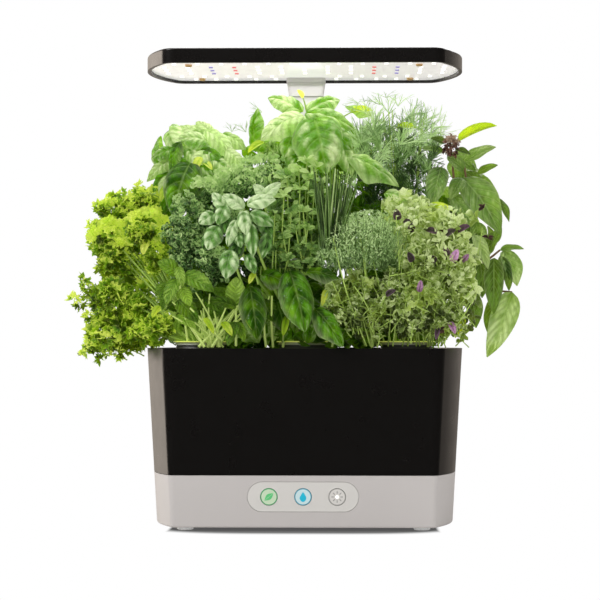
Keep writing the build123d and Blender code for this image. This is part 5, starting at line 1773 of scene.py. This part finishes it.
@dataclass
class Panel:
    """The marks on the control panel: a ring and a sign on each button."""

    tilt: float = math.radians(3.17)
    face_radius: float = 6.55
    ring_outer: float = 6.55
    ring_width: float = 0.35
    thickness: float = 0.06
    leaf_size: Point = (10.2, 4.9, 40.0)
    drop_size: tuple[float, float] = (8.2, 5.7)
    ray_reach: tuple[float, float] = (2.7, 4.7)
    ray_width: float = 0.8
    spark: float = 1.35
    spark_tint: Screen = (255, 253, 246)
    tints: dict = field(default_factory=lambda: {
        Icon.LEAF: ((88, 186, 116), (84, 172, 112), (188, 206, 178)),
        Icon.DROP: ((6, 172, 200), (70, 156, 180), (188, 210, 213)),
        Icon.SUN: ((146, 143, 140), (168, 165, 162), (200, 197, 193)),
    })

    def place(self, icon: Icon) -> Matrix:
        """Matrix from the button's face to the frame, in metres from mm.

        Args:
            icon: which button.

        Returns:
            The matrix.
        """
        low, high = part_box("button_" + icon.value)
        panel_low, panel_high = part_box("control_panel")
        up = Vector((0, -math.sin(self.tilt), math.cos(self.tilt)))
        out = Vector((0, -math.cos(self.tilt), -math.sin(self.tilt)))
        middle = Vector(((low.x + high.x) / 2, low.y + self.face_radius * MM * math.sin(self.tilt),
                         (panel_low.z + panel_high.z) / 2))
        rows = Matrix((Vector((1, 0, 0)), up, out)).transposed().to_4x4()
        return Matrix.Translation(middle) @ rows @ Matrix.Scale(MM, 4)

    def raise_flat(self, bm: bmesh.types.BMesh) -> None:
        """Gives flat faces the thickness of a moulded mark.

        Args:
            bm: the faces, in the button's plane.
        """
        grown = bmesh.ops.extrude_face_region(bm, geom=bm.faces[:])
        moved = [item for item in grown["geom"] if isinstance(item, bmesh.types.BMVert)]
        bmesh.ops.translate(bm, verts=moved, vec=(0, 0, self.thickness))
        bmesh.ops.recalc_face_normals(bm, faces=bm.faces[:])

    def ring(self) -> bmesh.types.BMesh:
        """The ring.

        Returns:
            A bmesh in the button's plane.
        """
        bm = bmesh.new()
        for radius in (self.ring_outer, self.ring_outer - self.ring_width):
            bmesh.ops.create_circle(bm, segments=64, radius=radius)
        bmesh.ops.bridge_loops(bm, edges=bm.edges[:])
        self.raise_flat(bm)
        return bm

    def sign(self, icon: Icon) -> bmesh.types.BMesh:
        """The sign inside the ring.

        Args:
            icon: which sign.

        Returns:
            A bmesh in the button's plane.
        """
        bm = bmesh.new()
        if icon is Icon.LEAF:
            length, width, turn = self.leaf_size
            for side in (-1, 1):
                made = bmesh.ops.create_circle(bm, cap_ends=True, segments=32, radius=1.0)["verts"]
                for vertex in made:
                    along = vertex.co.x
                    half = width / 2 * (1 - abs(along) ** 1.7) ** 0.9
                    rise = 0.12 + max(vertex.co.y * side, 0.0) * max(half - 0.12, 0.0)
                    vertex.co = Vector((along * length / 2, side * rise, 0))
            bmesh.ops.rotate(bm, verts=bm.verts[:], cent=(0, 0, 0),
                             matrix=Matrix.Rotation(math.radians(turn), 3, "Z"))
        elif icon is Icon.DROP:
            tall, width = self.drop_size
            made = bmesh.ops.create_circle(bm, cap_ends=True, segments=40, radius=1.0)["verts"]
            for vertex in made:
                high, pinch = vertex.co.y, 1.0
                if high >= -0.2:
                    circle = max(math.sqrt(max(1 - high * high, 1e-6)) / 0.98, 1e-3)
                    pinch = max(1 - ((high + 0.2) / 1.2) ** 1.25, 0.0) / circle
                vertex.co = Vector((vertex.co.x * width / 2 * min(pinch, 1.0), high * tall / 2, 0))
        else:
            near, far = self.ray_reach
            for number in range(8):
                made = bmesh.ops.create_grid(bm, x_segments=1, y_segments=1, size=0.5)["verts"]
                for vertex in made:
                    reach = near + (vertex.co.y + 0.5) * (far - near)
                    vertex.co = Vector((vertex.co.x * self.ray_width, reach, 0))
                bmesh.ops.rotate(bm, verts=made, cent=(0, 0, 0),
                                 matrix=Matrix.Rotation(number * math.pi / 4, 3, "Z"))
        bmesh.ops.dissolve_degenerate(bm, dist=1e-4, edges=bm.edges[:])
        self.raise_flat(bm)
        return bm

    def disc(self) -> bmesh.types.BMesh:
        """The bright spot in the middle of the sun.

        Returns:
            A bmesh in the button's plane.
        """
        bm = bmesh.new()
        bmesh.ops.create_circle(bm, cap_ends=True, segments=24, radius=self.spark)
        self.raise_flat(bm)
        return bm

    def cap(self, icon: Icon) -> bpy.types.Material:
        """Finish of a button: a pale cap whose coloured rim reaches down into the gap round it.

        Args:
            icon: which button.

        Returns:
            The material.
        """
        _, ring_colour, cap_colour = self.tints[icon]
        material, g = new_material("button_" + icon.value)
        middle = self.place(icon).translation
        spot = g.parts(g.object_place())
        over, up = g.less(spot[0], middle.x), g.less(spot[2], middle.z)
        away = g.math("SQRT", g.plus(g.times(over, over), g.times(up, up)))
        edge = self.ring_outer - self.ring_width / 2
        share = g.ramp(away, (edge - 0.05) * MM, (edge + 0.05) * MM)
        tint = g.mix(share, shade_of(*cap_colour), shade_of(*ring_colour))
        surface = {"Color": tint, "Roughness": 0.38, "Grain": 3000.0, "Mottle": 0.02}
        g.finish(hard_shader(g, surface, 0.02, 0.1))
        return material

    def build(self) -> list[bpy.types.Object]:
        """Makes the marks and dresses the buttons.

        Returns:
            The new pieces.
        """
        pieces = []
        for icon in Icon:
            sign_colour, ring_colour, _ = self.tints[icon]
            dress("button_" + icon.value, self.cap(icon))
            marks = [("ring", self.ring(), ring_colour, 0.1),
                     ("sign", self.sign(icon), sign_colour, 0.15)]
            if icon is Icon.SUN:
                marks.append(("spark", self.disc(), self.spark_tint, 0.9))
            for what, bm, colour, glow in marks:
                bm.transform(self.place(icon))
                name = f"{icon.value}_{what}"
                mesh = to_mesh(bm, name, smooth=False)
                ink = Moulded(name + "_ink", colour, 0.4, 3000.0, 0.02, 0.02, glow=glow)
                pieces.append(add_piece(name, mesh, "button_" + icon.value,
                                        [ink.make()]))
        LOG.info("panel marks: %d pieces", len(pieces))
        return pieces


def dress_hard_pieces() -> None:
    """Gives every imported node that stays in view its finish."""
    for node, finish in HARD.items():
        dress(node, finish.make())
    for kind, finish in POD.items():
        material = finish.make()
        for number in range(1, 7):
            dress(f"{kind}_{number}", material)
    LOG.info("dressed %d packed nodes", len(HARD) + 6 * len(POD))


# ---------------------------------------------------------------- studio


@dataclass
class Studio:
    """Camera, world, lamps and floor."""

    shift: float = (PLAN_LEVEL - PLAN_SIDE / 2) / PLAN_SIDE
    soft_light: float = 0.62
    floor_share: float = 0.085
    # Round the base the floor shows the lit matte with the lamps' soft shadow; the last fade sets
    # how far the painted dark contact shadow reaches.
    shadow_half: tuple[float, float] = (0.135, 0.084)
    shadow_fade: tuple[float, float] = (0.78, 1.36)
    side_fade: tuple[float, float] = (0.102, 0.115)
    painted_shadow_fade: tuple[float, float] = (1.1, 1.7)

    def camera(self) -> None:
        """Adds the camera, level with the planting plan's eye point."""
        data = bpy.data.cameras.new("camera")
        data.lens, data.sensor_width, data.shift_y = EYE_LENS, SENSOR, self.shift
        data.clip_end = 20.0
        camera = bpy.data.objects.new("camera", data)
        camera.location = EYE
        camera.rotation_euler = (math.pi / 2, 0, EYE_TURN)
        bpy.context.scene.collection.objects.link(camera)
        bpy.context.scene.camera = camera

    def world(self) -> None:
        """Makes the world: white to the eye, softly lit, with bright panels behind for gloss."""
        world = bpy.data.worlds.new("studio")
        bpy.context.scene.world = world
        world.use_nodes = True
        world.node_tree.nodes.clear()
        g = Graph(world.node_tree)
        path = g.node("ShaderNodeLightPath").outputs
        over, deep, high = g.parts(g.node("ShaderNodeTexCoord").outputs["Generated"])
        top = g.times(g.ramp(high, -0.2, 0.9, 0.75, 1.15), self.soft_light)
        soft = g.node("ShaderNodeBackground", {"Color": (1.0, 0.99, 0.98, 1.0), "Strength": top})
        left = g.ramp(over, -0.02, 0.02, 1.0, 0.0)
        wall_left = g.times(g.ramp(deep, 0.3, 0.46),
                            g.times(g.ramp(deep, 0.5, 1.0, 4.0, 0.85), left))
        wall_right = g.times(g.ramp(deep, 0.2, 0.9, 0.0, 0.5), g.less(1.0, left))
        level = g.times(g.ramp(high, -0.25, 0.12, 0.45, 1.0), g.ramp(high, 0.15, 0.35, 1.0, 0.2))
        walls = g.times(g.plus(wall_left, wall_right), level)
        overhead = g.ramp(high, 0.45, 0.95, 0.0, 0.32)
        shine = g.plus(g.plus(walls, overhead), 0.03)
        gloss = g.node("ShaderNodeBackground", {"Color": (1.0, 0.88, 0.76, 1.0), "Strength": shine})
        white = g.node("ShaderNodeBackground", {"Color": (1, 1, 1, 1), "Strength": 1.0})
        seen = g.math("MAXIMUM", path["Is Camera Ray"], path["Is Transmission Ray"])
        g.finish(g.blend(seen, g.blend(path["Is Glossy Ray"], soft, gloss), white), "World")

    def lamp(self, name: str, place: Point, aim: Point, size: tuple[float, float], power: float,
             gloss: bool = True) -> bpy.types.Object:
        """Adds an area lamp.

        Args:
            name: its name.
            place: where it stands.
            aim: the point it shines at.
            size: its width and height.
            power: its power in watts.
            gloss: whether it shows in gloss.

        Returns:
            The lamp.
        """
        data = bpy.data.lights.new(name, "AREA")
        data.shape, data.size, data.size_y = "RECTANGLE", *size
        data.energy = power
        lamp = bpy.data.objects.new(name, data)
        lamp.location = place
        lamp.rotation_euler = (Vector(aim) - Vector(place)).to_track_quat("-Z", "Y").to_euler()
        lamp.visible_camera = False
        lamp.visible_glossy = gloss
        bpy.context.scene.collection.objects.link(lamp)
        return lamp

    def lamps(self) -> None:
        """Adds the lamps."""
        self.lamp("key", (-1.2, -0.85, 1.4), (0, 0, 0.2), (0.9, 0.9), 18.0)
        self.lamp("back", (0.4, 1.3, 1.3), (0, 0, 0.25), (1.4, 0.9), 20.0)
        self.lamp("front", (0.6, -1.7, 0.6), (0, 0, 0.12), (1.2, 0.9), 5.0, gloss=False)
        grow = self.lamp("grow_light", (0, 0, 0.379), (0, 0, 0), (0.2, 0.09), 0.13, gloss=False)
        grow.parent = frame["bodies"]["lamp"]

    def floor(self) -> None:
        """Adds the pale floor, which keeps the soft shadow the lamps cast under the base, darkened
        to the eye by a painted contact shadow.
        """
        bm = bmesh.new()
        bmesh.ops.create_grid(bm, x_segments=1, y_segments=1, size=6.0)
        mesh = to_mesh(bm, "floor", smooth=False)
        floor = bpy.data.objects.new("floor", mesh)
        bpy.context.scene.collection.objects.link(floor)
        material, g = new_material("floor_white")
        seen = g.node("ShaderNodeLightPath").outputs["Is Camera Ray"]
        spot = g.parts(g.object_place())
        along, deep = [g.math("DIVIDE", g.math("ABSOLUTE", part), half)
                       for part, half in zip(spot[:2], self.shadow_half)]
        lens = g.plus(g.math("POWER", along, 4.0), g.math("POWER", deep, 2.0))
        side = g.ramp(g.math("ABSOLUTE", spot[0]), *self.side_fade, 0.0, 1.4)
        away = g.math("MAXIMUM", lens, side)
        # Painted shadow: to the eye the floor's colour turns dark close round the base, a painted
        # contact shadow; light that bounces off the floor keeps the pale colour.
        under = g.times(seen, g.ramp(away, *self.painted_shadow_fade, 1.0, 0.0))
        tint = g.mix(under, (0.96, 0.96, 0.95, 1.0), (0.1, 0.1, 0.1, 1.0))
        matte = g.node("ShaderNodeBsdfDiffuse", {"Color": tint})
        white = g.node("ShaderNodeEmission", {"Color": (1, 1, 1, 1), "Strength": 1.0})
        share = g.times(seen, g.ramp(away, *self.shadow_fade, self.floor_share, 1.0))
        g.finish(g.blend(share, matte, white))
        floor.visible_glossy = False
        floor.data.materials.append(material)

    def build(self) -> None:
        """Sets up the studio."""
        bpy.context.scene.view_settings.view_transform = "Standard"
        self.camera()
        self.world()
        self.lamps()
        self.floor()
        LOG.info("studio ready")


def main() -> None:
    """Builds every piece in order."""
    logging.basicConfig(level=logging.INFO, format="%(name)s: %(message)s")
    Studio().build()
    dress_hard_pieces()
    Panel().build()
    for plant in CROPS:
        plant.build()
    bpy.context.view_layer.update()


if __name__ == "__main__":
    main()
